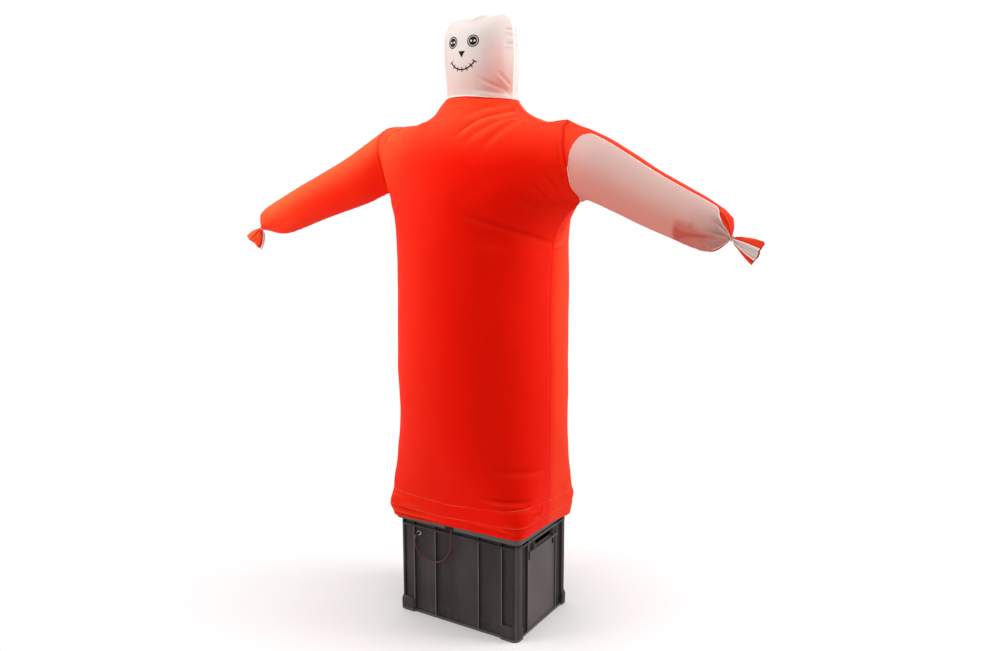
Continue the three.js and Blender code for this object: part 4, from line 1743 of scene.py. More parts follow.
    def panel(self, side: Side) -> ClothSheet:
        """One finished panel of the body.

        Args:
            side: Which panel.

        Returns:
            The panel.
        """
        front = side is Side.FRONT
        points = self.shaped[side].copy()
        if front:
            self.fold(points)
        sheet = ClothSheet(f"shirt_{side.value}", f"body_{side.value}", Slot.RED, points)
        self.fill_out(sheet)
        lines = self.FRONT_CREASES if front else self.BACK_CREASES
        across = sheet.from_middle() if front else sheet.across()
        ridges = sheet.crease(lines, across, self.crease_margin)
        sheet.swell(self.SWELL_SEEDS[side], self.unevenness)
        self.sew(sheet, side, ridges)
        return sheet


@dataclass
class Hood:
    """The white head: a front and a back panel sewn up the sides and over the top."""

    columns: int = 84
    spacing: float = 2.8
    top_spacing: float = 1.6
    crease_margin: float = 4.0
    unevenness: float = 0.5
    back_full: float = 4.0
    full_at: float = 112.0
    full_width: float = 24.0
    seam_flat: float = 8.0
    # Shares of painted pink light and shade on the hood.
    red_all_over: float = 0.07
    red_band: float = 0.22
    red_back: float = 0.06

    SECTIONS = TubeTable(
        [
            (91, 91, 0, 0, 1402.4, -91, 88, 1402.4, 2),
            (94, 94, 0, 0, 1450, -95, 77, 1452, 2),
            (96, 96, 0, 0, 1513, -96, 66, 1516, 2.1),
            (94, 94, 0, 0, 1558, -87, 54, 1564, 2.3),
            (88, 88, 0, 0, 1586, -62, 37, 1590, 2.6),
            (80, 80, 0, 0, 1598, -34, 20, 1601, 3),
            (68, 68, -0.15, 0.15, 1604, -0.2, 0.2, 1606, 4),
        ]
    )
    SEAM_CREASES = (
        (137, 1569, 122, 1567, 100, 1562, 4, 3.8, 0.8, 0.05, 0.5),
        (142, 1534, 128, 1533, 108, 1527, 4, 3.6, 0.8, 0.05, 0.5),
        (140, 1552, 130, 1551, 116, 1549, 3.5, 2.2, 0.7, 0.05, 0.5),
        (-138, 1552, -126, 1549, -104, 1551, 5, 1.2, 0.5, 0.1, 0.6),
    )
    FRONT_CREASES = creases(
        [
            (130, 1433, 112, 1446, 88, 1466, 5, 3.8, 0.8, 0.05, 0.5),
            (128, 1415, 57, 1431, 25, 1460, 4.4, 4.4, 0.6, 0.05, 0.75),
            (129, 1408, 72, 1411, 11, 1421, 4, 3.2, 0.7, 0.05, 0.5),
            (40, 1406, -10, 1407, -60, 1412, 4, 1.4, 0.6, 0.2, 0.4),
            (36, 1606, 24, 1592, 2, 1578, 5, 4.2, 0.6, 0.05, 0.6),
            *SEAM_CREASES,
        ]
    )
    BACK_CREASES = creases(
        [
            (128, 1420, 90, 1432, 40, 1452, 6, 2.6, 0.6, 0.05, 0.5),
            (-128, 1414, -80, 1420, -30, 1440, 6, 2.6, 0.6, 0.05, 0.5),
            *SEAM_CREASES,
        ]
    )
    # Where the top edge stands higher or lower, how wide and by how much.
    TOP_EDGE = ((18, 16, 4.0), (33, 7, -2.5), (66, 12, 3.0))
    SWELL_SEEDS = {Side.FRONT: 21, Side.BACK: 22}
    SEAM_SEEDS = {Side.FRONT: 31, Side.BACK: 32}
    END_SEED = 33
    TOP = Ramp(1.0, 1586.0, 1604.0)
    COLLAR_LOW = Ramp(COLLAR_DROP, 1430.0, 1402.0)
    LOW, OFF_SEAM = Ramp(1.0, 1530.0, 1402.0), Ramp(1.0, 1403.0, 1424.0)
    # Where the painted pink light and shade falls on the hood's front.
    RED_LEFT, RED_RIGHT = Ramp(0.10, 10.0, 80.0), Ramp(0.26, 20.0, 120.0)
    RED_LOW = Ramp(0.40, -100.0, 30.0)
    RED_BAND, BAND_END = (35.0, 85.0, 98.0, 120.0), Ramp(0.85, 1505.0, 1565.0)

    def glow(self, sheet: ClothSheet, side: Side, across: Array) -> Array:
        """Painted pink light and shade on the white cloth: a little all over and on the left, more
        on the right, down a band right of the middle, and low down near the red body.

        Args:
            sheet: The panel.
            side: Which panel.
            across: Distance from the panel's middle.

        Returns:
            The share at each point.
        """
        height = sheet.points[..., 2]
        low = self.LOW.at(height) * self.OFF_SEAM.at(height)
        if side is Side.BACK:
            return self.red_back * low
        share = self.red_all_over + self.RED_LEFT.at(-across)
        share = share + self.RED_RIGHT.at(across) * (0.3 + 0.7 * low)
        band = between(across, *self.RED_BAND) * (1.0 - self.BAND_END.at(height))
        return share + self.red_band * band + self.RED_LOW.at(across) * low

    def panel(self, side: Side) -> ClothSheet:
        """One finished panel of the hood.

        Args:
            side: Which panel.

        Returns:
            The panel.
        """
        front = side is Side.FRONT
        places = self.SECTIONS.places(self.spacing, {4: self.top_spacing, 5: self.top_spacing})
        points = self.SECTIONS.panel(side, places, self.columns)
        x, z = points[..., 0], points[..., 2]
        top = self.TOP.at(z)
        z += top * sum(rise * bell(x, at, wide) for at, wide, rise in self.TOP_EDGE)
        z -= self.COLLAR_LOW.at(z) * smoothstep(x, *COLLAR_SIDE)
        sheet = ClothSheet(
            f"hood_{side.value}", f"head_{side.value}", Slot.WHITE, points,
            rests_on=("shirt_front",),
        )
        across = sheet.from_middle() * (1.0 if front else -1.0)
        sheet.crease(self.FRONT_CREASES if front else self.BACK_CREASES, across, self.crease_margin)
        if not front:
            full = self.back_full * bell(across, self.full_at, self.full_width) * (1.0 - top)
            sheet.push(full * (1.0 - bell(sheet.from_sides(), 0.0, self.seam_flat)))
        sheet.swell(self.SWELL_SEEDS[side], self.unevenness)
        along, from_ends = sheet.along(), sheet.from_ends()
        sheet.pucker(sheet.from_sides(), along, self.SEAM_SEEDS[side], 0.9)
        sheet.pucker(from_ends, sheet.across(), self.END_SEED, 0.5)
        sheet.marks["seam"] = np.minimum(sheet.from_sides(), from_ends) * MM
        sheet.marks["glow"] = self.glow(sheet, side, across)
        return sheet


@dataclass(frozen=True)
class ArmPlan:
    """What differs between the two arms. Seams are places round the sleeve."""

    name: str
    side: int
    tie: Place
    girth: float
    slant: float
    root_lift: float
    tail: Place
    tail_stretch: float
    tail_width: float
    root_top_seam: float
    seams: tuple[float, float]
    end_seams: tuple[float, float]
    tail_seams: tuple[float, float]
    front: Slot
    back: Slot
    seed: int


ARMS = (
    ArmPlan(
        name="right", side=1, tie=(702, -110, 1066), girth=1.0, slant=0.0, root_lift=7.0,
        tail=(0.89, -0.16, -0.42), tail_stretch=1.0, tail_width=1.0, root_top_seam=3.4,
        seams=(-0.4, 7.35), end_seams=(1.0, 5.9), tail_seams=(2.4, 5.1),
        front=Slot.WHITE, back=Slot.RED, seed=41,
    ),
    ArmPlan(
        name="left", side=-1, tie=(-713, -110, 1056), girth=0.91, slant=1.0, root_lift=-5.0,
        tail=(-0.58, -0.12, -0.8), tail_stretch=0.8, tail_width=1.25, root_top_seam=8.0,
        seams=(-0.8, 8.0), end_seams=(0.2, 8.0), tail_seams=(1.5, 8.0),
        front=Slot.RED, back=Slot.WHITE, seed=42,
    ),
)


@dataclass
class Sleeve:
    """An arm of two panels, pinched by a tie near its end and flared past it."""

    plan: ArmPlan
    body: BodyTube
    columns: int = 60
    root_rows: int = 18
    tie_along: float = 447.0
    pinch_end: float = 449.5
    ripples: float = 6.5
    ripple_depth: float = 3.2
    armhole_centre: Place = (293.0, -48.0, 1238.0)
    thickness: float = 1.2
    unevenness: float = 0.45
    tuck_depth: float = 1.7

    # Distance along the arm, half height, half depth and how much a slanted wrist keeps of it.
    GIRTHS = (
        (80, 75, 75, 1), (200, 65.5, 65.5, 1), (320, 58, 58, 1), (385, 53.5, 53.5, 0.86),
        (407, 49.5, 49.5, 0.62), (422, 42, 42, 0.46), (432, 31, 31, 0.42), (438, 20, 20, 0.46),
        (442, 10.5, 10.5, 0.65), (444.5, 4.6, 4.6, 1), (449.5, 4.6, 4.6, 1), (456, 8, 5.5, 1),
        (468, 14, 7, 1), (488, 22, 6.5, 1), (515, 28, 5.5, 1),
    )
    # Distance along the arm from which the rows stand this far apart.
    ROW_SPACING = ((80, 5.0), (330, 3.2), (400, 1.8), (438, 0.9), (456, 1.6), (515, 1.6))
    TUBE_START, TAIL_END = 80.0, 515.0
    GATHERS = (Ramp(0.10, 345.0, 425.0), Ramp(0.03, 425.0, 443.0))
    FINE_GATHERS = Ramp(0.16, 392.0, 440.0)
    ROOT_LIFT = Ramp(1.0, 280.0, TUBE_START)
    EVEN_GIRTH = Ramp(1.0, 424.0, 440.0)
    END_SEAMS, TAIL_SEAMS = Ramp(1.0, 390.0, 430.0), Ramp(1.0, 440.0, 458.0)
    TAIL_TURN, SLANT_BELOW = Ramp(1.0, 0.0, 9.0), Ramp(1.0, -0.2, 0.8)
    WEDGE_RUN, WEDGE_MIDDLE = (335.0, 415.0), (-38.0, -8.0)
    WEDGE_TIP, WEDGE_ROOT, WEDGE_TAPER = 3.5, 21.0, 23.0
    TUCK_RUN, TUCK_WIDTH, PUCKER_REACH = 14.0, 5.0, 400.0
    SEED_STEPS = {Side.FRONT: 0, Side.BACK: 50}
    TAIL_CURL, CURLED_BELOW = Ramp(6.0, 34.0, 66.0), Ramp(1.0, 0.45, 1.0)
    SLACK, PAST_TIE = Ramp(1.0, 430.0, 380.0), Ramp(1.0, 440.0, 462.0)
    RED_SPOT = Spot(0.70, 371, 8, -5, 9)
    RED_WEDGE = (328.0, 340.0, 404.0, 432.0)
    WEDGE_SHARE, BROAD_SHARE = Ramp(0.92, 1.3, 0.6), Ramp(0.58, 8.0, -12.0)
    # Painted light: coming through white cloth, more below and less on the tail; on red cloth,
    # paler on top and near the wrist.
    RED_BELOW, TAIL_PALE = Ramp(0.42, 0.08, 0.70), Ramp(0.9, 438.0, 458.0)
    TOP_LIT, WRIST_LIT = Ramp(0.86, -0.35, 0.85), Ramp(0.16, 140.0, 400.0)

    def __post_init__(self) -> None:
        """Works out the sleeve's directions and where its rows stand."""
        table = np.array(self.GIRTHS, float)
        self.girths = SmoothTable(table[:, 0], table[:, 1:])
        self.tie = np.array(self.plan.tie, float)
        centre = np.array(self.armhole_centre) * (self.plan.side, 1, 1)
        self.arm_axes = self.axes(self.tie - centre)
        self.tail_axes = self.axes(np.array(self.plan.tail))
        spacing = self.ROW_SPACING
        runs = [np.arange(a, b, step) for (a, step), (b, _) in zip(spacing, spacing[1:])]
        self.alongs = np.concatenate([*runs, [self.TAIL_END]])

    @staticmethod
    def axes(direction: Array) -> Array:
        """Directions along the arm, up across it and to its front.

        Args:
            direction: Where the arm points.

        Returns:
            Three unit vectors.
        """
        along = unit(direction)
        up = unit(np.array([0.0, 0.0, 1.0]) - along * along[2])
        front = np.array([0.0, -1.0, 0.0]) + along * along[1]
        front = unit(front - up * (front @ up))
        return np.stack([along, up, front])

    @staticmethod
    def turns(places: Array) -> Array:
        """Angles round the sleeve, in radians from underneath."""
        return places / PLACES_ROUND * FULL_TURN

    def gathers(self, along: float, turn: Array) -> Array:
        """How the tie gathers the cloth: a share of the girth that is folded inwards.

        Args:
            along: Distance along the arm.
            turn: Angles round it.

        Returns:
            The share at each angle.
        """
        phase = np.random.default_rng(self.plan.seed).uniform(0.0, FULL_TURN, 4)
        wide = 0.5 - 0.5 * np.cos(5.0 * turn + phase[0] + 0.8 * np.sin(2.0 * turn + phase[1]))
        narrow = 0.5 - 0.5 * np.cos(13.0 * turn + phase[2] + 1.1 * np.sin(3.0 * turn + phase[3]))
        deep = sum(ramp.at(along) for ramp in self.GATHERS)
        return deep * wide**1.5 + self.FINE_GATHERS.at(along) * narrow**1.4

    def ring(self, along: float, places: Array) -> Array:
        """Points round the sleeve.

        Args:
            along: How far along the arm, in millimetres.
            places: Places round the sleeve.

        Returns:
            The points.
        """
        plan = self.plan
        half_up, half_deep, slanted = self.girths.at_run(along)
        girth = plan.girth + (1.0 - plan.girth) * self.EVEN_GIRTH.at(along)
        past = max(along - self.pinch_end, 0.0) * plan.tail_stretch
        lie = unit(self.arm_axes + (self.tail_axes - self.arm_axes) * self.TAIL_TURN.at(past))
        middle = self.tie + self.arm_axes[0] * (min(along, self.pinch_end) - self.tie_along)
        middle = middle + self.tail_axes[0] * past
        middle = middle + self.arm_axes[1] * plan.root_lift * self.ROOT_LIFT.at(along)
        turn = self.turns(places)
        in_tail = min(past / 10.0, 1.0)
        held = (1.0 - self.gathers(along, turn) * (1.0 - 0.8 * in_tail)) * girth
        below = plan.slant * (1.0 - min(slanted, 1.0)) * self.SLANT_BELOW.at(np.cos(turn))
        wide = 1.0 + (plan.tail_width - 1.0) * in_tail
        ripple = self.ripple_depth * np.sin(self.ripples * np.cos(turn) + plan.seed)
        ripple = ripple + 1.2 * np.sin(17.0 * np.cos(turn) + past / 14.0)
        curl = self.TAIL_CURL.at(past) * self.CURLED_BELOW.at(np.cos(turn))
        up = (-half_up * np.cos(turn) * held * (1.0 - below) * wide)[:, None] * lie[1]
        front = (half_deep * held * np.sin(turn) + in_tail * ripple + curl)[:, None] * lie[2]
        return middle + up + front

    def seams(self, root: float, along: float) -> tuple[float, float]:
        """Places of the lower and the upper seam.

        Args:
            root: From 0 at the armhole to 1 where the tube starts.
            along: How far along the arm.

        Returns:
            The two places.
        """
        plan = self.plan
        places = np.array([0.0, plan.root_top_seam])
        places += (np.array(plan.seams) - places) * smoothstep(root * 3.0, 0.0, 2.0)
        places += (np.array(plan.end_seams) - places) * self.END_SEAMS.at(along)
        places += (np.array(plan.tail_seams) - places) * self.TAIL_SEAMS.at(along)
        return float(places[0]), float(places[1])

    def join(self, hole: Array, tube: Array, places: Array, root: float) -> Array:
        """Runs the cloth from the armhole smoothly into the tube.

        Args:
            hole: Points on the armhole.
            tube: Points where the tube starts.
            places: Their places round the sleeve.
            root: From 0 at the armhole to 1 where the tube starts.

        Returns:
            Points in between.
        """
        chord = tube - hole
        ahead = unit(self.ring(self.TUBE_START + 10.0, places) - tube)
        onwards = ahead * np.linalg.norm(chord, axis=1)[:, None]
        straight = hole + chord * root
        return straight + (onwards - chord) * (root**3 - root**2)

    def rows(self, side: Side) -> tuple[Array, Array, Array]:
        """All rows of one panel.

        Args:
            side: Which panel.

        Returns:
            Points, places round the sleeve, and how far along the arm each row is.
        """
        steps = [(t, self.TUBE_START) for t in np.arange(self.root_rows) / self.root_rows]
        steps += [(1.0, along) for along in self.alongs]
        points, places = [], []
        for root, along in steps:
            low, high = self.seams(root, along)
            first, last = (low, high) if side is Side.FRONT else (high, low + PLACES_ROUND)
            here = np.linspace(first, last, self.columns + 1)
            tube = self.ring(along, here)
            if root < 1.0:
                tube = self.join(self.body.armhole(self.plan.side, here), tube, here, root)
            points.append(tube)
            places.append(here)
        turned = slice(None, None, -1) if self.plan.side > 0 else slice(None)
        runs = np.array([root * along for root, along in steps])
        return np.stack(points)[:, turned], np.stack(places)[:, turned], runs

    def glow(self, places: Array, runs: Array) -> Array:
        """Painted light: the far panel's red light coming through white cloth, more below than on
        top and less on the tail.
        """
        low = 0.5 + 0.5 * np.cos(self.turns(places))
        return (0.50 + self.RED_BELOW.at(low)) * (1.0 - self.TAIL_PALE.at(runs[:, None]))

    def show(self, places: Array, runs: Array) -> Array:
        """Where the far panel lies against white cloth near the wrist: a wedge and a spot.

        Args:
            places: Places round the sleeve.
            runs: How far along the arm each row is.

        Returns:
            The share at each point.
        """
        run = runs[:, None]
        heights = [self.girths.at_run(max(r, self.TUBE_START))[0] for r in runs]
        up = -np.cos(self.turns(places)) * np.array(heights)[:, None]
        middle = np.interp(run, self.WEDGE_RUN, self.WEDGE_MIDDLE)
        past = np.maximum(run - self.WEDGE_RUN[0], 0.0)
        half = self.WEDGE_TIP + self.WEDGE_ROOT * np.exp(-past / self.WEDGE_TAPER)
        close = between(run, *self.RED_WEDGE)
        wedge = close * self.WEDGE_SHARE.at(np.abs(up - middle) / half)
        broad = close * self.BROAD_SHARE.at(up)
        showing = np.maximum(np.maximum(wedge, self.RED_SPOT.at(run, up)), broad)
        return np.where(places < TOP_PLACE, showing, 0.0)

    def sunlit(self, side: Side, turn: Array, runs: Array, in_tail: Array) -> Array:
        """Painted light on red cloth: paler on top, at the tail and, in front, near the wrist.

        Args:
            side: Which panel.
            turn: Each point's angle round the sleeve.
            runs: How far along the arm each row is.
            in_tail: From 0 before the tie to 1 past it, for each row.

        Returns:
            The share at each point.
        """
        paler = 0.75 if side is Side.FRONT else 0.3
        lit = paler * (0.14 + self.TOP_LIT.at(-np.cos(turn))) + 0.25 * in_tail
        return lit + self.WRIST_LIT.at(runs)[:, None] if side is Side.FRONT else lit

    def panel(self, side: Side) -> ClothSheet:
        """One finished panel of the sleeve.

        Args:
            side: Which panel.

        Returns:
            The panel.
        """
        points, places, runs = self.rows(side)
        slot = self.plan.front if side is Side.FRONT else self.plan.back
        name = f"{self.plan.name}_{side.value}"
        sheet = ClothSheet(
            f"arm_{name}", f"sleeve_{name}", slot, points, thickness=self.thickness,
            rests_on=(f"shirt_{side.value}",),
        )
        seed = self.plan.seed + self.SEED_STEPS[side]
        sheet.swell(seed, self.unevenness)
        slack = self.SLACK.at(runs)[:, None]
        along = sheet.along()
        gap = np.where(slack > 0, sheet.from_sides(), 0.0) * slack
        sheet.pucker(gap, along, seed + 1, 0.8)
        sheet.pucker(np.minimum(along, self.PUCKER_REACH), sheet.across(), seed + 2, 1.0)
        tuck = bell(along, self.TUCK_RUN, self.TUCK_WIDTH)
        tuck = tuck * (0.65 + 0.35 * np.sin(places * 3.0))
        sheet.push(-self.tuck_depth * tuck)
        turn = self.turns(places)
        gathered = np.stack([self.gathers(run, row) for run, row in zip(runs, turn)])
        in_tail = self.PAST_TIE.at(runs)[:, None]
        # Painted shade in the tie's gathers and in the tuck at the root.
        fold = gathered / 0.2 * (1.0 - 0.6 * in_tail) + 0.15 * tuck
        sheet.marks["fold"] = np.clip(fold, 0.0, 1.0)
        sheet.marks["seam"] = np.minimum(sheet.from_sides(), along) * MM
        # Painted light on both cloths; on white cloth, also where the far panel shows through.
        if slot is Slot.WHITE:
            sheet.marks["glow"] = self.glow(places, runs)
            sheet.marks["show"] = self.show(places, runs)
        else:
            sheet.marks["glow"] = self.sunlit(side, turn, runs, in_tail)
        return sheet


# Fittings


@dataclass
class WristTie:
    """A thin string knotted round a pinched wrist."""

    sleeve: Sleeve
    ring_radius: float = 5.9
    cord_radius: float = 0.9
    knot_out: float = 0.6
    knot_size: float = 0.75
    steps: int = 48
    roundness: int = 3

    def loop(self, name: str, line: Array) -> bpy.types.Object:
        """A closed loop of the string."""
        return round_curve(name, line, [self.cord_radius] * len(line), self.roundness, closed=True)

    def build(self, finish: bpy.types.Material) -> None:
        """Makes the ring of string and its knot.

        Args:
            finish: Its material.
        """
        along, up, front = self.sleeve.arm_axes
        tie, name = self.sleeve.tie, self.sleeve.plan.name
        turn = np.linspace(0.0, FULL_TURN, self.steps, endpoint=False)[:, None]
        ring = tie + self.ring_radius * (np.cos(turn) * up + np.sin(turn) * front)
        band = self.loop(f"wrist_string_{name}", ring)
        fit_piece(band, finish, Slot.STRING, f"tie_{name}")
        knot = tie + (self.ring_radius + self.knot_out) * front + self.knot_size * (
            (np.sin(turn) + 2.0 * np.sin(2.0 * turn)) * along
            + (np.cos(turn) - 2.0 * np.cos(2.0 * turn)) * up
            - 1.1 * np.sin(3.0 * turn) * front
        )
        fit_piece(self.loop(f"wrist_knot_{name}", knot), finish, Slot.STRING)


@dataclass
class StackingCrate:
    """The plastic crate that the hem is drawn over, with softened moulded edges."""

    edge_round: float = 0.7
    sharp: float = math.radians(24.0)
    flat: float = math.radians(0.5)
    shade_break: float = math.radians(40.0)

    def build(self, finish: bpy.types.Material) -> bpy.types.Object:
        """Makes the crate from its solid, with every hard edge rounded.

        Args:
            finish: Its material.

        Returns:
            The crate.
        """
        bm = bmesh.new()
        bm.from_mesh(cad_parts["crate"].data)
        bmesh.ops.remove_doubles(bm, verts=bm.verts[:], dist=2e-5)
        bmesh.ops.dissolve_limit(
            bm, angle_limit=self.flat, verts=bm.verts[:], edges=bm.edges[:], delimit=set()
        )
        hard = [e for e in bm.edges if e.is_manifold and e.calc_face_angle(0.0) > self.sharp]
        bmesh.ops.bevel(
            bm, geom=hard, offset=self.edge_round * MM, offset_type="OFFSET", affect="EDGES",
            segments=2, profile=0.5, material=-1, clamp_overlap=True,
        )
        for edge in bm.edges:
            edge.smooth = edge.calc_face_angle(0.0) < self.shade_break
        return fit_piece(object_of("crate_moulding", bm), finish, Slot.PLASTIC, "crate")


@dataclass
class PanelSocket:
    """A round metal socket in the crate's front wall."""

    centre: Place = (-126.0, -134.0, 234.0)
    profile: tuple[tuple[float, float], ...] = (
        (4.0, 0.35), (7.5, 0.35), (7.5, 1.5), (7.2, 2.1), (6.6, 2.5), (6.2, 3.2), (6.0, 3.7),
        (5.6, 4.0), (4.7, 4.0), (4.2, 3.7), (4.0, 3.2),
    )
    steps: int = 48
    shade_break: float = math.radians(35.0)

    def build(self, finish: bpy.types.Material) -> bpy.types.Object:
        """Spins the socket's profile round its axis.

        Args:
            finish: Its material.

        Returns:
            The socket.
        """
        bm = bmesh.new()
        centre = Vector(self.centre) * MM
        verts = [bm.verts.new(centre + Vector((r, -out, 0.0)) * MM) for r, out in self.profile]
        edges = [bm.edges.new((a, b)) for a, b in zip(verts, [*verts[1:], verts[0]])]
        bmesh.ops.spin(
            bm, geom=[*verts, *edges], cent=centre, axis=(0.0, 1.0, 0.0), dvec=(0.0, 0.0, 0.0),
            angle=FULL_TURN, steps=self.steps, use_merge=True, use_duplicate=False,
        )
        bmesh.ops.remove_doubles(bm, verts=bm.verts[:], dist=1e-6)
        bmesh.ops.recalc_face_normals(bm, faces=bm.faces[:])
        for edge in bm.edges:
            edge.smooth = edge.calc_face_angle(0.0) < self.shade_break
        return fit_piece(object_of("socket_ring", bm), finish, Slot.METAL, "socket")


@dataclass
class BlowerLead:
    """The thin lead that hangs from the crate's rim to the socket, with a boot on its plug."""

    radius: float = 2.0
    fine: int = 6
    roundness: int = 5
    boot_radius: float = 3.5
    boot_taper: float = 1.0
    boot_fine: int = 9
    boot_rib: float = 0.22
    rib_turns: float = 75.0

    ROUTE = (
        (-8, -140.5, 294), (-8, -141.5, 285), (-8, -145.5, 276.5), (-8, -149.6, 267.5),
        (-8, -150.6, 257), (-8, -150.4, 246), (-9, -149, 234), (-12, -147, 219),
        (-19, -145, 202), (-29, -144, 187.5), (-42, -143.4, 175.5), (-57, -143, 167.5),
        (-73, -142.8, 164.3), (-89, -143, 165), (-104, -143.4, 169.5), (-117, -144, 178),
        (-126, -145, 189), (-130.8, -146.6, 201), (-131, -148.6, 211.5), (-129.5, -149.6, 219.3),
    )
    BOOT = (
        (-126, -138.4, 234), (-126, -144, 233.4), (-126.6, -148.2, 230.2), (-127.9, -149.7, 226),
        (-129.5, -149.7, 219.95),
    )

    @staticmethod
    def smooth_route(route: Sequence[Sequence[float]], fine: int) -> Array:
        """A smooth line through a route's points, in millimetres.

        Args:
            route: The points.
            fine: Steps from one point to the next.

        Returns:
            The line's points.
        """
        points = np.array(route, float)
        table = SmoothTable(run_along(points), points)
        places = np.linspace(0.0, len(points) - 1.0, (len(points) - 1) * fine + 1)
        return np.stack([table.at(place) for place in places])

    def boot_radii(self, count: int) -> Array:
        """Radii of the boot, which tapers from the plug and is ribbed in between.

        Args:
            count: How many.

        Returns:
            The radii, in millimetres.
        """
        share = np.linspace(0.0, 1.0, count)
        ribs = np.where((share > 0.3) & (share < 0.92), np.cos(share * self.rib_turns), 0.0)
        taper = self.boot_taper * smoothstep(share, 0.25, 1.0)
        return self.boot_radius - taper + ribs * self.boot_rib

    def build(self, finish: bpy.types.Material) -> None:
        """Args:
            finish: Its material.
        """
        line = self.smooth_route(self.ROUTE, self.fine)
        lead = round_curve("lead_cable", line, [self.radius] * len(line), self.roundness)
        fit_piece(lead, finish, Slot.LEAD, "lead")
        bent = self.smooth_route(self.BOOT, self.boot_fine)
        boot = round_curve("lead_sleeve", bent, self.boot_radii(len(bent)), self.roundness)
        fit_piece(boot, finish, Slot.LEAD, "lead_boot")
        2.0 * self.radius * MM


# Studio


@dataclass(frozen=True)
class SoftLight:
    """One large soft lamp."""

    name: str
    place: Place
    aim: Place
    size: tuple[float, float]
    power: float
    spread: float = math.pi


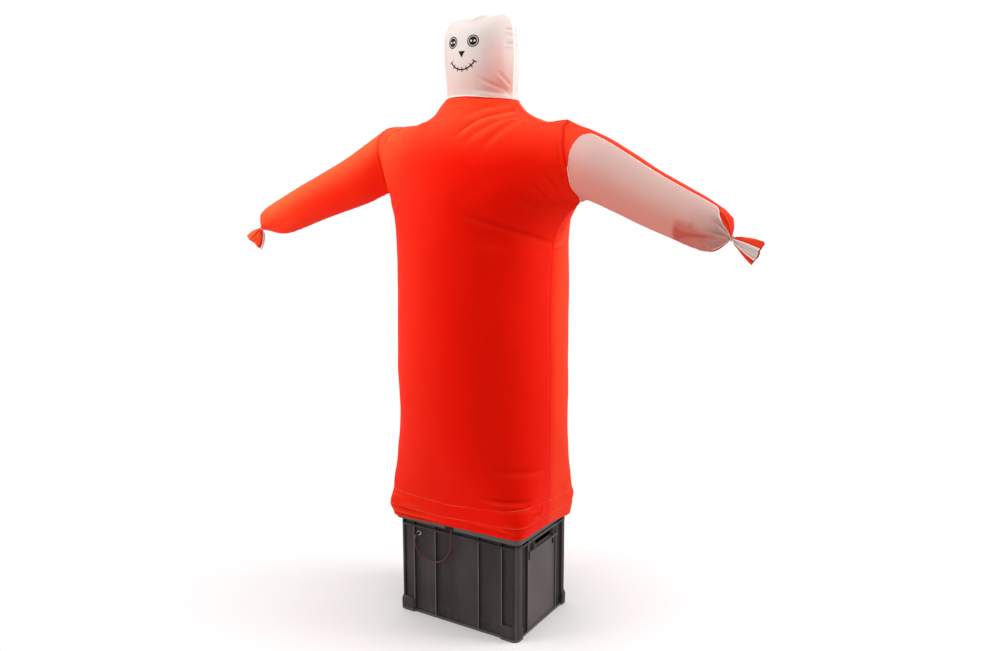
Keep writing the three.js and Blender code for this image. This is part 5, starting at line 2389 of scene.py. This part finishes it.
@dataclass
class Studio:
    """A pale floor, a white surround, soft lamps and the camera."""

    eye: Place = (1.240, -1.927, 1.166)
    pitch: float = math.radians(81.06)
    turn: float = math.radians(31.67)
    focal_pixels: float = 854.0
    picture_width: float = 999.0
    sensor_width: float = 36.0
    floor_radius: float = 3.4
    floor_down: float = 0.0008
    floor_pale: Colour = (0.93, 0.93, 0.93)
    floor_mottle: Colour = (0.90, 0.90, 0.90)
    surround: float = 0.72
    camera_side: float = 0.52

    LIGHTS = (
        SoftLight("lamp_left", (-2.2, -2.2, 1.2), (0.0, 0.0, 1.1), (1.6, 2.0), 44.0),
        SoftLight("lamp_right", (2.4, 1.3, 1.9), (0.0, 0.0, 1.1), (1.4, 2.0), 54.0),
        SoftLight("lamp_top", (-0.2, -0.4, 3.4), (0.0, 0.0, 1.0), (2.4, 2.0), 30.0),
        SoftLight("lamp_arm", (-1.5, -1.5, 0.35), (-0.6, -0.11, 1.12), (0.4, 0.4), 0.2, 0.4),
        SoftLight("lamp_head", (0.9, -1.7, 1.2), (0.0, 0.0, 1.50), (0.4, 0.4), 0.14, 0.4),
    )

    def camera(self) -> None:
        """Sets the camera where the picture was taken from."""
        data = bpy.data.cameras.new("picture_camera")
        data.sensor_width = self.sensor_width
        data.lens = self.sensor_width * self.focal_pixels / self.picture_width
        piece = link_object("picture_camera", data)
        piece.location = self.eye
        piece.rotation_euler = Euler((self.pitch, 0.0, self.turn))
        bpy.context.scene.camera = piece

    def floor(self) -> None:
        """A pale floor that fades into the white surround."""
        bm = bmesh.new()
        bmesh.ops.create_circle(bm, cap_ends=True, segments=96, radius=self.floor_radius)
        bmesh.ops.translate(bm, verts=bm.verts[:], vec=(0.0, 0.0, -self.floor_down))
        piece = object_of("studio_floor", bm, smooth=False)
        bench = FinishBench("studio_pale")
        x, y, _ = bench.place()
        far = (x * x + y * y).root()
        mottle = bench.noise((3.0, 3.0, 3.0), 2.0)
        pale = bench.mix(mottle * 0.2, self.floor_pale, self.floor_mottle)
        rough = bench.node("ShaderNodeBsdfDiffuse", None, {"Color": pale})
        clear = bench.node("ShaderNodeBsdfTransparent")
        values = {0: far.rise(0.35, 1.3), 1: bench.signal(rough), 2: bench.signal(clear)}
        both = bench.node("ShaderNodeMixShader", None, values)
        bench.node("ShaderNodeOutputMaterial", None, {"Surface": bench.signal(both)})
        piece.data.materials.append(bench.material)

    def surround_light(self) -> None:
        """White to the eye all round, and weaker light on the object from the camera's side."""
        world = bpy.data.worlds.new("studio_surround")
        world.use_nodes = True
        bench = NodeBench(world.node_tree)
        towards = Vector((self.eye[0], self.eye[1], 0.0)).normalized()
        values = {0: bench.coordinates("Generated"), 1: towards}
        facing = bench.node("ShaderNodeVectorMath", {"operation": "DOT_PRODUCT"}, values)
        near = bench.signal(facing, "Value").rise(-0.1, 0.9)
        lit = near * (self.camera_side - self.surround) + self.surround
        seen = bench.signal(bench.node("ShaderNodeLightPath"), "Is Camera Ray")
        values = {"Color": (1.0, 1.0, 1.0, 1.0), "Strength": lit + seen * (1.0 - lit)}
        white = bench.node("ShaderNodeBackground", None, values)
        bench.node("ShaderNodeOutputWorld", None, {"Surface": bench.signal(white)})
        bpy.context.scene.world = world

    def lamps(self) -> None:
        """Hangs the soft lamps."""
        for light in self.LIGHTS:
            data = bpy.data.lights.new(light.name, "AREA")
            data.shape = "RECTANGLE"
            data.size, data.size_y = light.size
            data.energy = light.power
            data.spread = light.spread
            piece = link_object(light.name, data)
            piece.location = light.place
            toward = Vector(light.aim) - Vector(light.place)
            piece.rotation_euler = toward.to_track_quat("-Z", "Y").to_euler()

    def build(self) -> None:
        """Sets up everything that isn't the object."""
        view = bpy.context.scene.view_settings
        view.view_transform = "Standard"
        view.look = "None"
        self.camera()
        self.floor()
        self.surround_light()
        self.lamps()
        LOG.info("studio ready")


LEAD_RUBBER = CordFinish("lead_rubber", (0.062, 0.006, 0.007), (0.10, 0.014, 0.013), 0.55, 0.004)
TIE_YARN = CordFinish("tie_yarn", (0.62, 0.58, 0.52), (0.42, 0.38, 0.33), 0.85, 0.0012)


def main() -> None:
    """Builds the studio and every piece in order."""
    logging.basicConfig(level=logging.INFO, format="%(name)s: %(message)s")
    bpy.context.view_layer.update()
    Studio().build()
    BlowerLead().build(LEAD_RUBBER.dress())
    StackingCrate().build(MouldedPlastic().dress())
    PanelSocket().build(PlatedMetal().dress())
    hemmed = RED_CLOTH.hemmed()
    hoods = {Side.FRONT: FacePrint().on_cloth(WHITE_CLOTH), Side.BACK: LIT_WHITE_CLOTH.plain()}
    plain = {Slot.RED: RED_CLOTH.plain(), Slot.WHITE: WHITE_CLOTH.plain()}
    yarn = TIE_YARN.dress()
    body, hood = BodyTube(), Hood()
    for side in Side:
        body.panel(side).build(hemmed)
        hood.panel(side).build(hoods[side])
    for plan in ARMS:
        sleeve = Sleeve(plan, body)
        for side in Side:
            panel = sleeve.panel(side)
            panel.build(plain[panel.slot])
        WristTie(sleeve).build(yarn)


if __name__ == "__main__":
    main()
